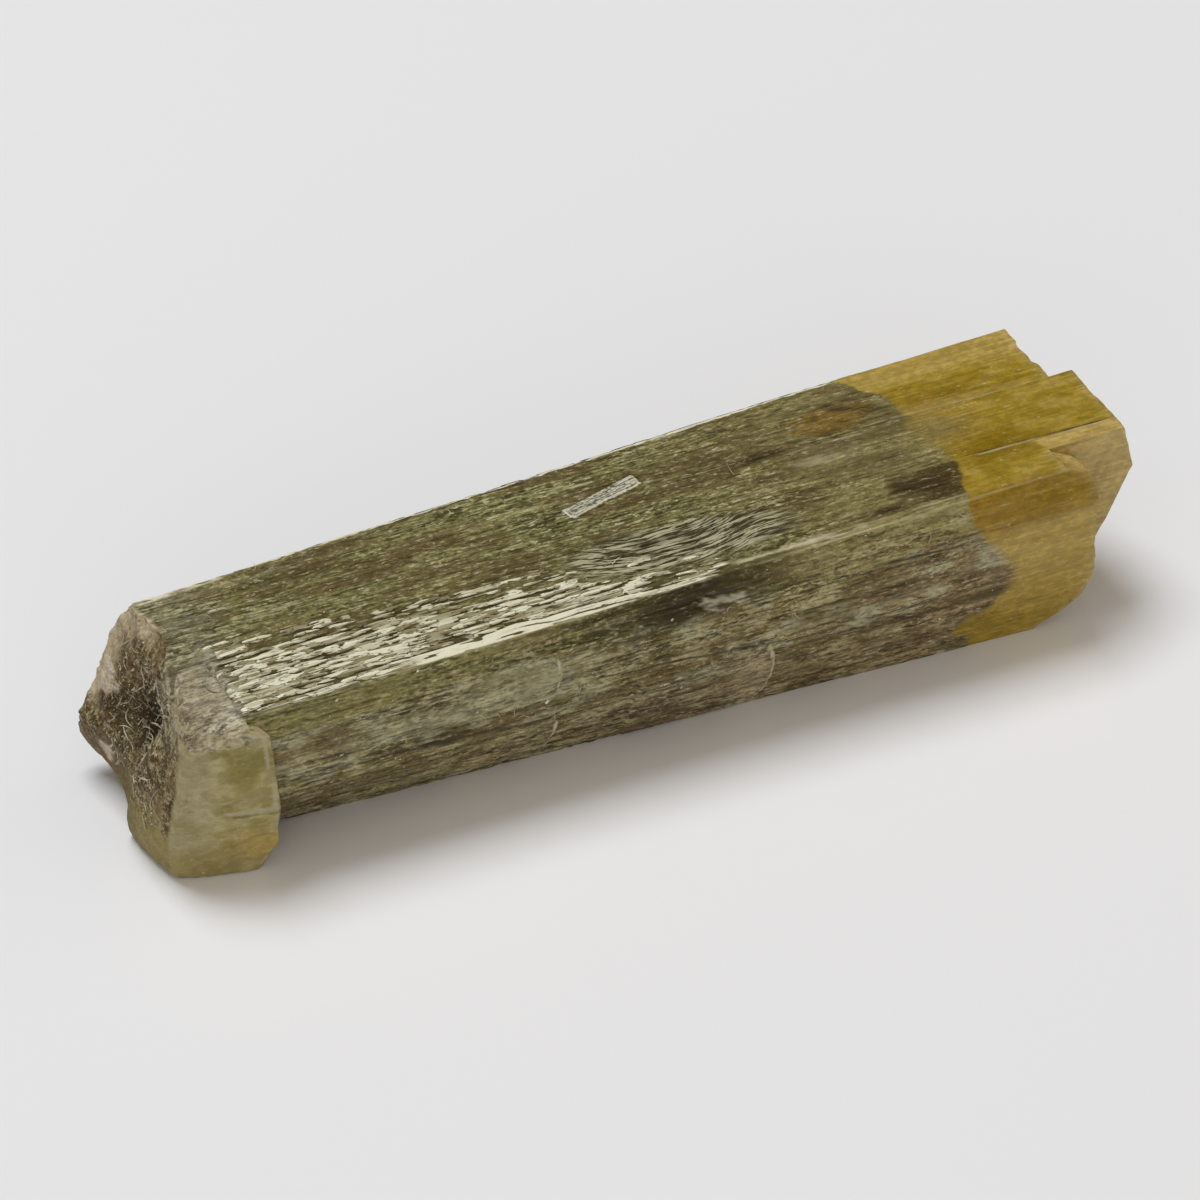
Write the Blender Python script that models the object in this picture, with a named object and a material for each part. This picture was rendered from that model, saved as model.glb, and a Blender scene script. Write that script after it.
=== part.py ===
"""A loose diopside crystal lying on its flat side.

Three rods have grown side by side into one striated prism. Their yellow tips stand at +X, each at its
own length. At -X the prism is broken across, with a pit in the break and a smooth lip left standing
proud of the front face. X runs along the crystal, -Y is its broad front face and +Z is up.
"""

import bmesh
import bpy
import numpy as np
from mathutils import Vector

MM = 0.001
NAME = "diopside_crystal"

# Sections of the prism, in mm along X. Its edges run straight from one section to the next.
SECTION_X = (-15.0, 5.5, 15.5)

# Each edge of the prism, going round it: its (y, z) at the three sections, and the number of
# striation laths on the face between it and the next edge.
PRISM_EDGES = {
    "ridge": (((-3.46, 4.87), (-3.46, 5.12), (-3.46, 5.24)), 3),
    "brow": (((-3.58, 4.35), (-3.70, 4.10), (-3.76, 4.10)), 4),
    "waist": (((-3.45, 2.30), (-3.68, 2.55), (-3.60, 2.00)), 5),
    "front_foot": (((-1.45, -0.20), (-2.76, -0.20), (-3.40, -0.20)), 0),
    "back_foot": (((0.12, -0.20), (0.50, -0.20), (0.85, -0.20)), 4),
    "heel": (((2.62, 1.10), (3.05, 1.10), (3.18, 1.20)), 7),
    "shoulder": (((2.02, 4.70), (2.86, 4.65), (3.24, 4.60)), 3),
    "back_edge": (((1.55, 5.50), (2.66, 5.40), (3.14, 5.34)), 0),
    "back_rim": (((1.42, 5.58), (2.54, 5.48), (3.02, 5.42)), 5),
    "rod_split": (((0.46, 5.61), (0.46, 5.37), (0.46, 5.22)), 0),
    "middle_rod": (((0.38, 5.64), (0.38, 5.45), (0.38, 5.42)), 7),
    "strip_top": (((-0.35, 5.75), (-3.28, 5.19), (-3.30, 5.30)), 4),
}
LATH_STATIONS = 13
LATH_RELIEF = 0.05
LATH_RELIEF_MOST = 0.10
LATH_RISER = 0.05
NARROW_FACE = 1.2
LATH_SEED = 5

# Ends of the three rods, as (x, z) outlines from the top down; what lies past them is cut away.
BACK_ROD_END = ((13.80, 6.4), (13.92, 5.2), (14.02, 4.1), (13.70, 2.7), (13.05, 1.2), (12.30, -0.6))
MIDDLE_ROD_END = (
    (14.40, 6.4), (14.50, 5.40), (14.83, 3.96), (14.46, 3.25), (14.04, 2.39), (13.69, 1.83),
    (12.90, 0.60), (12.40, -0.6),
)
FRONT_ROD_END = (
    (11.90, 6.4), (12.20, 5.25), (12.95, 4.90), (13.10, 4.20), (13.07, 2.51), (13.20, 1.80),
    (13.06, 1.35), (12.92, 0.89), (12.62, 0.65), (12.32, 0.41), (11.71, 0.17), (10.90, -0.6),
)
FRONT_ROD_Y = -2.50
# The back rod ends in three fingers: (front y, back y, how much shorter it is).
BACK_ROD_FINGERS = ((0.42, 1.35, 0.0), (1.30, 2.25, 0.10), (2.20, 6.0, 0.03))

# Clefts between laths, as V-shaped grooves: start x, end x, y, depth at the end; on the top face.
TOP_CLEFTS = {
    "rod_split": (0.5, 16.0, 0.44, 0.34),
    "tip_split": (10.6, 16.0, -1.95, 0.22),
    "ridge_split": (8.4, 16.0, -3.30, 0.20),
    "finger_split_1": (11.8, 16.0, 1.32, 0.20),
    "finger_split_2": (10.9, 16.0, 2.22, 0.16),
    "long_crack": (11.0, -4.0, -1.10, 0.16),
    "short_crack": (2.0, 9.0, -2.35, 0.14),
    "left_crack": (-3.0, -13.0, 0.75, 0.12),
}
CLEFT_WIDTH = 0.16
CLEFT_ABOVE = 0.4

# The break at -X, as a surface x(y, z): it leans out towards the foot and is hackly.
BREAK_TOP_X = -12.80
BREAK_LEAN = 1.15
BREAK_TOP_Z = 5.5
BREAK_ROUGHNESS = 0.055
BREAK_LUMPS = (
    (-1.6, 5.0, 0.9, -0.22), (1.9, 3.4, 0.8, 0.10), (0.9, 0.5, 1.2, 0.48), (-2.0, 0.6, 1.1, 0.26),
    (2.4, 1.7, 0.7, -0.26), (-2.0, 3.3, 0.6, -0.12),
)
BREAK_PIT = (-0.35, 3.1, 1.0, 0.95)
BREAK_MIDDLE = (-0.6, 2.9)
BREAK_HALF_SIZE = (4.3, 4.0)
BREAK_CELLS = (24, 22)
BREAK_SEED = 3

# The lip: corners of its three convex blocks. It tapers in towards its foot, where a step crosses it.
LIP_BODY = (
    (-12.95, -3.95, 4.45), (-11.42, -4.20, 4.26), (-11.24, -4.05, 3.06), (-11.06, -3.80, 1.30),
    (-11.25, -3.60, 0.20), (-11.65, -3.45, -0.3), (-13.60, -2.85, -0.3), (-14.2, -3.10, 1.00),
    (-13.9, -3.55, 3.10), (-13.0, -2.2, 4.40), (-11.6, -2.6, 4.30), (-11.3, -1.6, -0.3),
    (-14.3, -0.6, -0.3), (-14.2, -1.2, 2.6),
)
LIP_CREST = (
    (-12.75, -4.08, 5.00), (-11.82, -4.18, 4.88), (-11.75, -4.16, 4.10), (-12.95, -3.95, 4.10),
    (-12.80, -2.95, 5.36), (-12.25, -3.15, 5.14), (-12.00, -2.80, 4.10), (-12.90, -2.80, 4.10),
)
LIP_STEP = (
    (-13.6, -2.97, -0.3), (-11.22, -3.62, -0.3), (-13.6, -3.22, 0.92), (-11.10, -3.82, 0.92),
    (-13.6, -2.00, -0.3), (-11.22, -2.40, -0.3), (-13.6, -2.00, 0.92), (-11.22, -2.40, 0.92),
)

# Cleavage plates lying on the front face: (left x, right x), (bottom z, top z), how proud they stand.
FRONT_PLATES = {
    "long_plate": ((-11.5, -2.90), (0.15, 2.15), 0.13),
    "green_plate": ((-11.5, -2.70), (2.55, 3.95), 0.09),
    "short_plate": ((-0.60, 3.20), (0.30, 2.45), 0.15),
}
PLATE_ROOT = 0.5
PLATE_ARC_POINTS = 6

# A small clear crystal lath grown on the top face, and a thin flake along the back edge.
TOP_LATH_PLACE = (0.26, 0.53)
TOP_LATH_LENGTH = 2.3
TOP_LATH_WIDTH = 0.50
TOP_LATH_PROUD = 0.07
TOP_LATH_ROOT = 0.33
TOP_LATH_TURN = 0.30
BACK_FLAKE = (
    (-13.3, 1.50, 5.50), (-13.3, 1.78, 5.56), (-10.3, 1.97, 5.58), (-10.15, 1.80, 5.55),
    (-13.3, 1.80, 5.30), (-10.2, 2.00, 5.32), (-13.3, 1.30, 5.10), (-10.2, 1.50, 5.10),
)

# Splinters left on the bright strip above the ridge.
SPLINTERS = 16
SPLINTER_REACH = (-11.0, 1.5)
SPLINTER_LENGTH = (1.1, 3.2)
SPLINTER_WIDTH = (0.16, 0.30)
SPLINTER_PROUD = 0.08
SPLINTER_TILT = 0.05
SPLINTER_ROOT = 0.3
SPLINTER_SEED = 12

BODY_COLOUR = (0.145, 0.138, 0.070, 1.0)
BODY_ROUGHNESS = 0.38
CLEAR = 20.0


def clear_scene():
    for obj in list(bpy.data.objects):
        bpy.data.objects.remove(obj)


def new_collection(name):
    collection = bpy.data.collections.new(name)
    bpy.context.scene.collection.children.link(collection)
    return collection


def add_object(name, mesh, collection, parent, helper=True):
    obj = bpy.data.objects.new(name, mesh)
    obj.parent = parent
    collection.objects.link(obj)
    if helper:
        obj.hide_render = True
        obj.display_type = "WIRE"
    return obj


def finish_mesh(bm, name):
    """Triangulates the body, points its faces outwards and returns it as a mesh."""
    bmesh.ops.triangulate(bm, faces=bm.faces[:])
    bmesh.ops.recalc_face_normals(bm, faces=bm.faces[:])
    mesh = bpy.data.meshes.new(name)
    bm.to_mesh(mesh)
    bm.free()
    return mesh


def hull_mesh(name, corners):
    """The convex body on a few corners, given in mm."""
    bm = bmesh.new()
    for corner in corners:
        bm.verts.new(Vector(corner) * MM)
    hull = bmesh.ops.convex_hull(bm, input=bm.verts[:])
    spare = [item for item in hull["geom_interior"] if isinstance(item, bmesh.types.BMVert)]
    bmesh.ops.delete(bm, geom=spare, context="VERTS")
    return finish_mesh(bm, name)


def outline_mesh(name, outline, half_thickness):
    """A flat outline, given in mm in its own XY plane, made into a plate of twice half_thickness."""
    curve = bpy.data.curves.new(name, "CURVE")
    curve.dimensions = "2D"
    curve.fill_mode = "BOTH"
    curve.extrude = half_thickness * MM
    spline = curve.splines.new("POLY")
    spline.points.add(len(outline) - 1)
    for point, (u, v) in zip(spline.points, outline):
        point.co = (u * MM, v * MM, 0.0, 1.0)
    spline.use_cyclic_u = True
    holder = bpy.data.objects.new(name, curve)
    bpy.context.scene.collection.objects.link(holder)
    graph = bpy.context.evaluated_depsgraph_get()
    flat = bpy.data.meshes.new_from_object(holder.evaluated_get(graph))
    bpy.data.objects.remove(holder)
    bm = bmesh.new()
    bm.from_mesh(flat)
    bmesh.ops.remove_doubles(bm, verts=bm.verts[:], dist=0.001 * MM)
    return finish_mesh(bm, name)


def edge_at(name, x):
    """The (y, z) of a prism edge at one or many x, in mm."""
    places = np.array(PRISM_EDGES[name][0])
    return np.stack([np.interp(x, SECTION_X, places[:, axis]) for axis in (0, 1)], axis=-1)


def lath_heights(count, rng):
    """Heights of the laths on one face at each station: each lath wanders slowly along X.

    The outer laths stay flush, so that the prism's edges are crisp.
    """
    start = rng.uniform(-1.0, 1.0, (count, 1))
    drift = np.cumsum(rng.normal(0.0, 0.45, (count, LATH_STATIONS)), axis=1)
    heights = np.clip((start + drift) * LATH_RELIEF, -LATH_RELIEF_MOST, LATH_RELIEF)
    heights[:1] = 0.0
    heights[-1:] = 0.0
    return heights


def face_points(start, end, heights, middle):
    """Section points of one face: its first edge, then the two top corners of each lath.

    start and end hold the face's two edges at each station, and heights each lath's height.
    """
    side = end - start
    length = np.linalg.norm(side, axis=1, keepdims=True)
    along = side / length
    outward = np.stack([along[:, 1], -along[:, 0]], axis=1)
    outward *= np.sign(np.sum(outward * ((start + end) / 2 - middle), axis=1, keepdims=True))
    relief = np.minimum(1.0, length / NARROW_FACE)
    points = [start]
    count = len(heights)
    for lath in range(count):
        lift = heights[lath][:, None] * relief * outward
        for share in (lath + LATH_RISER, lath + 1 - LATH_RISER):
            points.append(start + side * share / count + lift)
    return points


def prism_mesh():
    """The striated prism: a loft through unlike sections, with its laths as flat terraces."""
    rng = np.random.default_rng(LATH_SEED)
    stations = np.linspace(SECTION_X[0], SECTION_X[-1], LATH_STATIONS)
    names = list(PRISM_EDGES)
    edges = {name: edge_at(name, stations) for name in names}
    middle = np.mean([edges[name] for name in names], axis=0)
    rings = []
    for name, following in zip(names, names[1:] + names[:1]):
        heights = lath_heights(PRISM_EDGES[name][1], rng)
        rings += face_points(edges[name], edges[following], heights, middle)
    section = np.stack(rings, axis=1)
    around = section.shape[1]
    x = np.repeat(stations, around)
    points = np.column_stack([x, section.reshape(-1, 2)]) * MM
    bm = bmesh.new()
    loops = np.array([bm.verts.new(point) for point in points]).reshape(LATH_STATIONS, around)
    for here, there in zip(loops[:-1], loops[1:]):
        for k in range(around):
            following = (k + 1) % around
            bm.faces.new((here[k], here[following], there[following], there[k]))
    bm.faces.new(loops[0])
    bm.faces.new(loops[-1])
    return finish_mesh(bm, "prism")


def add_rod_end(name, outline, y_range, shorter, cutters, rig):
    """Cuts a rod off past its end outline, between two y values."""
    end = [(x - shorter, z) for x, z in outline]
    top_z, foot_z = outline[0][1], outline[-1][1]
    corners = end + [(CLEAR, foot_z), (CLEAR, top_z)]
    front, back = y_range
    cutter = add_object(name, outline_mesh(name, corners, (back - front) / 2), cutters, rig)
    cutter.rotation_euler.x = np.pi / 2
    cutter.location.y = (front + back) / 2 * MM
    return cutter


def add_rod_ends(cutters, rig):
    add_rod_end("middle_rod_end", MIDDLE_ROD_END, (-CLEAR, CLEAR), 0.0, cutters, rig)
    add_rod_end("front_rod_end", FRONT_ROD_END, (-CLEAR, FRONT_ROD_Y), 0.0, cutters, rig)
    for number, (front, back, shorter) in enumerate(BACK_ROD_FINGERS):
        add_rod_end(f"back_rod_end_{number}", BACK_ROD_END, (front, back), shorter, cutters, rig)


def top_height(x, y):
    """Height of the top faces at (x, y), without the laths."""
    names = ("ridge", "strip_top", "middle_rod", "rod_split", "back_rim", "back_edge")
    places = np.array([edge_at(name, x) for name in names])
    return float(np.interp(y, places[:, 0], places[:, 1]))


def add_clefts(cutters, rig):
    for name, (start, end, y, depth) in TOP_CLEFTS.items():
        half = CLEFT_WIDTH / 2
        start_z = top_height(start, y) + LATH_RELIEF
        end_z = top_height(end, y)
        start_lid = start_z + CLEFT_ABOVE
        end_lid = end_z + CLEFT_ABOVE
        corners = (
            (start, y, start_z), (start, y - half, start_lid), (start, y + half, start_lid),
            (end, y, end_z - depth), (end, y - 2 * half, end_lid), (end, y + 2 * half, end_lid),
        )
        add_object(name, hull_mesh(name, corners), cutters, rig)


def break_x(y, z, rng):
    """The x of the break at (y, z): a leaning, bowed surface with lumps, a pit and hackly steps."""
    x = BREAK_TOP_X - BREAK_LEAN * (1.0 - (np.clip(z, 0.0, BREAK_TOP_Z) / BREAK_TOP_Z) ** 2)
    for lump_y, lump_z, size, height in BREAK_LUMPS + (BREAK_PIT,):
        x = x + height * np.exp(-((y - lump_y) ** 2 + (z - lump_z) ** 2) / size**2)
    return x + rng.normal(0.0, BREAK_ROUGHNESS, x.shape)


def break_mesh():
    """The block past the break: a rough grid, pulled out to a flat back well clear of the prism."""
    rng = np.random.default_rng(BREAK_SEED)
    bm = bmesh.new()
    bmesh.ops.create_grid(bm, x_segments=BREAK_CELLS[0], y_segments=BREAK_CELLS[1], size=1.0)
    flat = np.array([vert.co for vert in bm.verts])
    y = BREAK_MIDDLE[0] + BREAK_HALF_SIZE[0] * flat[:, 0]
    z = BREAK_MIDDLE[1] + BREAK_HALF_SIZE[1] * flat[:, 1]
    x = break_x(y, z, rng)
    for vert, place in zip(bm.verts, np.column_stack([x, y, z]) * MM):
        vert.co = place
    rim = [edge for edge in bm.edges if edge.is_boundary]
    pulled = bmesh.ops.extrude_edge_only(bm, edges=rim)["geom"]
    outer = [item for item in pulled if isinstance(item, bmesh.types.BMVert)]
    for vert in outer:
        vert.co.x = -CLEAR * MM
    bmesh.ops.contextual_create(bm, geom=[edge for edge in bm.edges if edge.is_boundary])
    return finish_mesh(bm, "break_block")


def add_resting_slab(cutters, rig):
    """The crystal lies on one flat face, so everything under z = 0 is cut away."""
    bm = bmesh.new()
    bmesh.ops.create_cube(bm, size=2 * CLEAR * MM)
    bmesh.ops.translate(bm, verts=bm.verts[:], vec=(0.0, 0.0, -CLEAR * MM))
    add_object("resting_slab", finish_mesh(bm, "resting_slab"), cutters, rig)


def rounded_plate(x_range, v_range):
    """Outline of a plate with a square left end and a rounded right end, in (x, v)."""
    (left, right), (low, high) = x_range, v_range
    radius = (high - low) / 2
    angles = np.linspace(-np.pi / 2, np.pi / 2, PLATE_ARC_POINTS)
    depth = 0.55 * radius
    arc = [(right - depth + depth * np.cos(a), low + radius + radius * np.sin(a)) for a in angles]
    return [(left, low)] + arc + [(left, high)]


def add_front_plates(growths, rig):
    """Thin plates on the front face, each sunk into it by PLATE_ROOT and turned to its slope."""
    for name, (x_range, z_range, proud) in FRONT_PLATES.items():
        centre_x = sum(x_range) / 2
        low_edge, high_edge = ("front_foot", "waist") if z_range[0] < 1.0 else ("waist", "brow")
        low = edge_at(low_edge, centre_x)
        high = edge_at(high_edge, centre_x)
        slope = (high[0] - low[0]) / (high[1] - low[1])
        stretch = np.hypot(1.0, slope)
        outline = rounded_plate(x_range, (z_range[0] * stretch, z_range[1] * stretch))
        thickness = PLATE_ROOT + proud
        plate = add_object(name, outline_mesh(name, outline, thickness / 2), growths, rig)
        lean = np.arctan(slope)
        plate.rotation_euler.x = np.pi / 2 - lean
        outward = np.array([-np.cos(lean), np.sin(lean)])
        at_table = low - np.array([slope, 1.0]) * low[1]
        plate.location.y, plate.location.z = (at_table + outward * (proud - thickness / 2)) * MM


def add_top_lath(growths, rig):
    """The lath is a slanted slip of crystal, sunk into the top face by TOP_LATH_ROOT."""
    x, y = TOP_LATH_PLACE
    half_length = TOP_LATH_LENGTH / 2
    half_width = TOP_LATH_WIDTH / 2
    slant = 1.2 * half_width
    outline = (
        (-half_length - slant, -half_width), (half_length, -half_width),
        (half_length + slant, half_width), (-half_length, half_width),
    )
    half_thickness = (TOP_LATH_PROUD + TOP_LATH_ROOT) / 2
    middle_z = top_height(x, y) + LATH_RELIEF + TOP_LATH_PROUD - half_thickness
    lath = add_object("top_lath", outline_mesh("top_lath", outline, half_thickness), growths, rig)
    lath.rotation_euler.z = TOP_LATH_TURN
    lath.location = Vector((x, y, middle_z)) * MM


def add_splinters(growths, rig):
    """Pointed splinters lying along the bright strip, where it is wide enough to hold them."""
    rng = np.random.default_rng(SPLINTER_SEED)
    for number in range(SPLINTERS):
        x = rng.uniform(*SPLINTER_REACH)
        share = rng.uniform(0.12, 0.86)
        half = rng.uniform(*SPLINTER_LENGTH) / 2
        wide = rng.uniform(*SPLINTER_WIDTH) / 2
        y, z = edge_at("ridge", x) * (1 - share) + edge_at("strip_top", x) * share
        front_top = z + SPLINTER_PROUD - SPLINTER_TILT
        back_top = z + SPLINTER_PROUD + SPLINTER_TILT
        corners = (
            (x - half, y, z), (x + half, y + wide / 2, z),
            (x - 0.7 * half, y - wide, front_top), (x + 0.6 * half, y - wide, front_top),
            (x - 0.6 * half, y + wide, back_top), (x + 0.7 * half, y + wide, back_top),
            (x - half / 2, y, z - SPLINTER_ROOT), (x + half / 2, y, z - SPLINTER_ROOT),
        )
        name = f"splinter_{number}"
        add_object(name, hull_mesh(name, corners), growths, rig)


def add_lip(growths, rig):
    """The lip: three convex blocks, fused to the broken front corner of the prism."""
    for name, corners in (("lip_body", LIP_BODY), ("lip_crest", LIP_CREST), ("lip_step", LIP_STEP)):
        add_object(name, hull_mesh(name, corners), growths, rig)


def crystal_material():
    material = bpy.data.materials.new("diopside")
    material.use_nodes = True
    shader = material.node_tree.nodes["Principled BSDF"]
    shader.inputs["Base Color"].default_value = BODY_COLOUR
    shader.inputs["Roughness"].default_value = BODY_ROUGHNESS
    shader.inputs["Metallic"].default_value = 0.0
    return material


def add_booleans(crystal, operation, operands):
    """One exact Boolean for each body of a collection, in the order they were made."""
    for operand in operands.objects:
        modifier = crystal.modifiers.new(operand.name, "BOOLEAN")
        modifier.operation = operation
        modifier.solver = "EXACT"
        modifier.object = operand


def centre_on_base(crystal, rig):
    """Moves everything so that the middle of the crystal's footprint is at the origin."""
    graph = bpy.context.evaluated_depsgraph_get()
    mesh = crystal.evaluated_get(graph).data
    points = np.empty(len(mesh.vertices) * 3)
    mesh.vertices.foreach_get("co", points)
    points = points.reshape(-1, 3)
    middle = (points.min(axis=0) + points.max(axis=0)) / 2
    rig.location = (-middle[0], -middle[1], 0.0)


def main():
    clear_scene()
    parts = new_collection(NAME)
    growths = new_collection("growths")
    cutters = new_collection("cutters")
    rig = bpy.data.objects.new("resting_point", None)
    parts.objects.link(rig)
    crystal = add_object(NAME, prism_mesh(), parts, rig, helper=False)
    crystal.data.materials.append(crystal_material())
    add_lip(growths, rig)
    add_front_plates(growths, rig)
    add_top_lath(growths, rig)
    add_splinters(growths, rig)
    add_object("back_flake", hull_mesh("back_flake", BACK_FLAKE), growths, rig)
    add_rod_ends(cutters, rig)
    add_clefts(cutters, rig)
    add_object("break_block", break_mesh(), cutters, rig)
    add_resting_slab(cutters, rig)
    add_booleans(crystal, "UNION", growths)
    add_booleans(crystal, "DIFFERENCE", cutters)
    centre_on_base(crystal, rig)


main()
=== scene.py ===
# %% [markdown]
# A natural crystal of diopside lying on a white table.
# The real piece is one prism about 29 mm long, grown as a bundle of parallel laths. It is broken and pitted at the
# left end, olive green and full of fibres along its length, and it ends on the right in three clear, honey-yellow
# rods. The packed model gives the true size and place, but its faces are plain. This script makes the same crystal
# again as one fine skin, gives it its finish, and sets up the table, the light and the camera.

# %% The frame and the tools
import math
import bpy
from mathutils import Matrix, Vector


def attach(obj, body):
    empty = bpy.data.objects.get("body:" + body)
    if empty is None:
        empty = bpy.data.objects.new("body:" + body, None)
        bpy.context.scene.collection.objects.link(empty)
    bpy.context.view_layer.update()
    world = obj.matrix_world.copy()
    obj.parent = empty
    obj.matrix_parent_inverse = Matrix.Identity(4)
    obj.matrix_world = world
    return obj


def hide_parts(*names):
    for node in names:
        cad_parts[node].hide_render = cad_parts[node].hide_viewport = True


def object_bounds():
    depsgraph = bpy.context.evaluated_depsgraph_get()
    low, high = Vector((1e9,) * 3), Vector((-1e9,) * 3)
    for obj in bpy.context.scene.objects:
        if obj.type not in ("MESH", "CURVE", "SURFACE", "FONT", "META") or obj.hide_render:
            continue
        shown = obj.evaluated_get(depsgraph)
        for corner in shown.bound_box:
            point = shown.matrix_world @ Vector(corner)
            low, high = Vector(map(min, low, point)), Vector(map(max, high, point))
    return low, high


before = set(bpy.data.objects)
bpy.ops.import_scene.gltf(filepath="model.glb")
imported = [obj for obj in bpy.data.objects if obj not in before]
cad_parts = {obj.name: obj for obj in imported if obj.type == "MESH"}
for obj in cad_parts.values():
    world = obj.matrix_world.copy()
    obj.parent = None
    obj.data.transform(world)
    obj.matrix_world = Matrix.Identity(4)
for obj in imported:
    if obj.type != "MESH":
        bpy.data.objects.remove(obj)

from types import SimpleNamespace

import bpy
import numpy as np
from mathutils import Vector

cad_low, cad_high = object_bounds()
print("packed crystal, mm:", [round(1000 * v, 2) for v in cad_high - cad_low])

# %% [markdown]
# Shapes below are worked out in millimetres in the crystal's own growth frame: X runs along the prism towards the
# honey-yellow end, Y away from the viewer and Z up, with the underside at Z = 0. The growth frame sits a little
# aside from the packed one, so one function moves points from millimetres there to metres in the frame. Another
# keeps points inside the packed model's box, because the looks may not make the crystal bigger.

# %% From the growth frame to the packed frame
MM = 0.001
TIP_X, LIP_Y = 14.83, -4.20
BOX_MARGIN = 0.002
ORIGIN = np.array([cad_high.x / MM - TIP_X, cad_low.y / MM - LIP_Y, 0.0])
BOX_LOW = (np.array(cad_low) / MM - ORIGIN + BOX_MARGIN) * [1, 1, 0]
BOX_HIGH = np.array(cad_high) / MM - ORIGIN - BOX_MARGIN


def to_frame(points):
    """Points in the growth frame, mm, as points in the packed frame, m: shifted by ORIGIN, then scaled."""
    return (np.asarray(points, float) + ORIGIN) * MM


def from_frame(points):
    """The way back: points in the packed frame, m, as points in the growth frame, mm."""
    return points / MM - ORIGIN


def keep_in_box(points):
    """Points in mm, each moved no further than to the packed box's sides; the underside stays at Z = 0."""
    return np.clip(points, BOX_LOW, BOX_HIGH)


print("growth frame sits at, mm:", ORIGIN.round(3))

# %% [markdown]
# The camera comes first, because it decides how fine the surface has to be. A short lens close by would make the near
# end look swollen, so this is a long lens, turned 26 degrees round the crystal and looking 36 degrees down.

# %% The camera
LOOK_DOWN, LOOK_ROUND = math.radians(36.0), math.radians(26.3)
CAMERA_DISTANCE, LENS_MM, SENSOR_MM, FRAME_PIXELS = 0.200, 225.0, 36.0, 1200
AIM = Vector(to_frame([0.0, 0.0, 2.6]))
toward_camera = Vector((
    -math.sin(LOOK_ROUND) * math.cos(LOOK_DOWN),
    -math.cos(LOOK_ROUND) * math.cos(LOOK_DOWN),
    math.sin(LOOK_DOWN),
))
lens = bpy.data.cameras.new("macro_lens")
lens.lens, lens.sensor_width = LENS_MM, SENSOR_MM
lens.clip_start, lens.clip_end = 0.01, 20.0
camera = bpy.data.objects.new("camera", lens)
bpy.context.scene.collection.objects.link(camera)
camera.location = AIM + toward_camera * CAMERA_DISTANCE
camera.rotation_euler = (-toward_camera).to_track_quat("-Z", "Y").to_euler()
bpy.context.scene.camera = camera
pixel = CAMERA_DISTANCE * SENSOR_MM / LENS_MM / FRAME_PIXELS
print("one pixel of the frame is about", round(pixel * 1e6), "micrometres")

# %% [markdown]
# Natural surfaces need randomness that comes out the same on every run. A random generator would do, but its numbers
# change when a grid gets finer. So all of it starts from a lattice of fixed random numbers: one for each whole-number
# corner, mixed from the corner's own coordinates. Grain blends between corners, and flakes cut the plane into cells.
# Stretching the coordinates before the call stretches the pattern along the crystal.

# %% Fixed random numbers
CORNER_FACTORS, SEED_FACTOR = (73856093, 19349663, 83492791), 265443577
MIX_FACTORS, LOW_BITS = (2246822519, 3266489917), 0xFFFFFFFF


def lattice(i, j, k, seed):
    """A fixed random number from 0 to 1 for each whole-number corner (i, j, k): its bits are multiplied and mixed."""
    bits = (i.astype(np.int64) * CORNER_FACTORS[0]) ^ (j.astype(np.int64) * CORNER_FACTORS[1])
    bits = bits ^ (k.astype(np.int64) * CORNER_FACTORS[2]) ^ np.int64(seed * SEED_FACTOR)
    bits = (bits & LOW_BITS).astype(np.uint64)
    for factor in MIX_FACTORS:
        bits = ((bits ^ (bits >> np.uint64(15))) * np.uint64(factor)) & np.uint64(LOW_BITS)
    return (bits ^ (bits >> np.uint64(16))).astype(float) / (LOW_BITS + 1.0)


corner = np.arange(3)
print("three of the fixed random numbers:", lattice(corner, corner, corner, 0).round(3))

# %% Grain and flakes
FAR = 9.0


def grain(x, y, z=0.0, seed=0):
    """Soft grain from -1 to 1: the eight corner numbers round a point, blended by the smooth curve t*t*(3 - 2t)."""
    x, y, z = np.broadcast_arrays(x, y, z)
    i, j, k = np.floor(x), np.floor(y), np.floor(z)
    ramp = [t * t * (3 - 2 * t) for t in (x - i, y - j, z - k)]
    total = 0.0
    for corner in range(8):
        a, b, c = corner & 1, corner >> 1 & 1, corner >> 2 & 1
        share = 1.0
        for side, t in zip((a, b, c), ramp):
            share = share * (t if side else 1 - t)
        total = total + share * lattice(i + a, j + b, k + c, seed)
    return 2 * total - 1


def flakes(x, y, seed=0, jitter=0.9):
    """Cells of the plane: each square holds one seed point at a random place, and each point takes the fixed random
    number, 0 to 1, of the seed point nearest to it."""
    x, y = np.broadcast_arrays(x, y)
    i, j = np.floor(x), np.floor(y)
    none = np.zeros_like(i)
    near, own = np.full(x.shape, FAR), np.zeros(x.shape)
    for a in (-1, 0, 1):
        for b in (-1, 0, 1):
            seed_x = i + a + 0.5 + jitter * (lattice(i + a, j + b, none, seed) - 0.5)
            seed_y = j + b + 0.5 + jitter * (lattice(i + a, j + b, none, seed + 1) - 0.5)
            away = np.hypot(x - seed_x, y - seed_y)
            own = np.where(away < near, lattice(i + a, j + b, none, seed + 2), own)
            near = np.minimum(near, away)
    return own


def rise(value, start, end):
    """0 before start, 1 after end, and the smooth curve t*t*(3 - 2t) between; start may be the larger."""
    t = np.clip((value - start) / (end - start), 0, 1)
    return t * t * (3 - 2 * t)


def spot(x, y, middle_x, middle_y, size_x, size_y):
    """A soft round or long spot: 1 in the middle, falling as exp(-distance squared), with distance in sizes."""
    return np.exp(-((x - middle_x) / size_x) ** 2 - ((y - middle_y) / size_y) ** 2)


places = np.linspace(0, 50, 1000)
print("grain runs from", grain(places, 0.5).min().round(2), "to", grain(places, 0.5).max().round(2))

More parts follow.
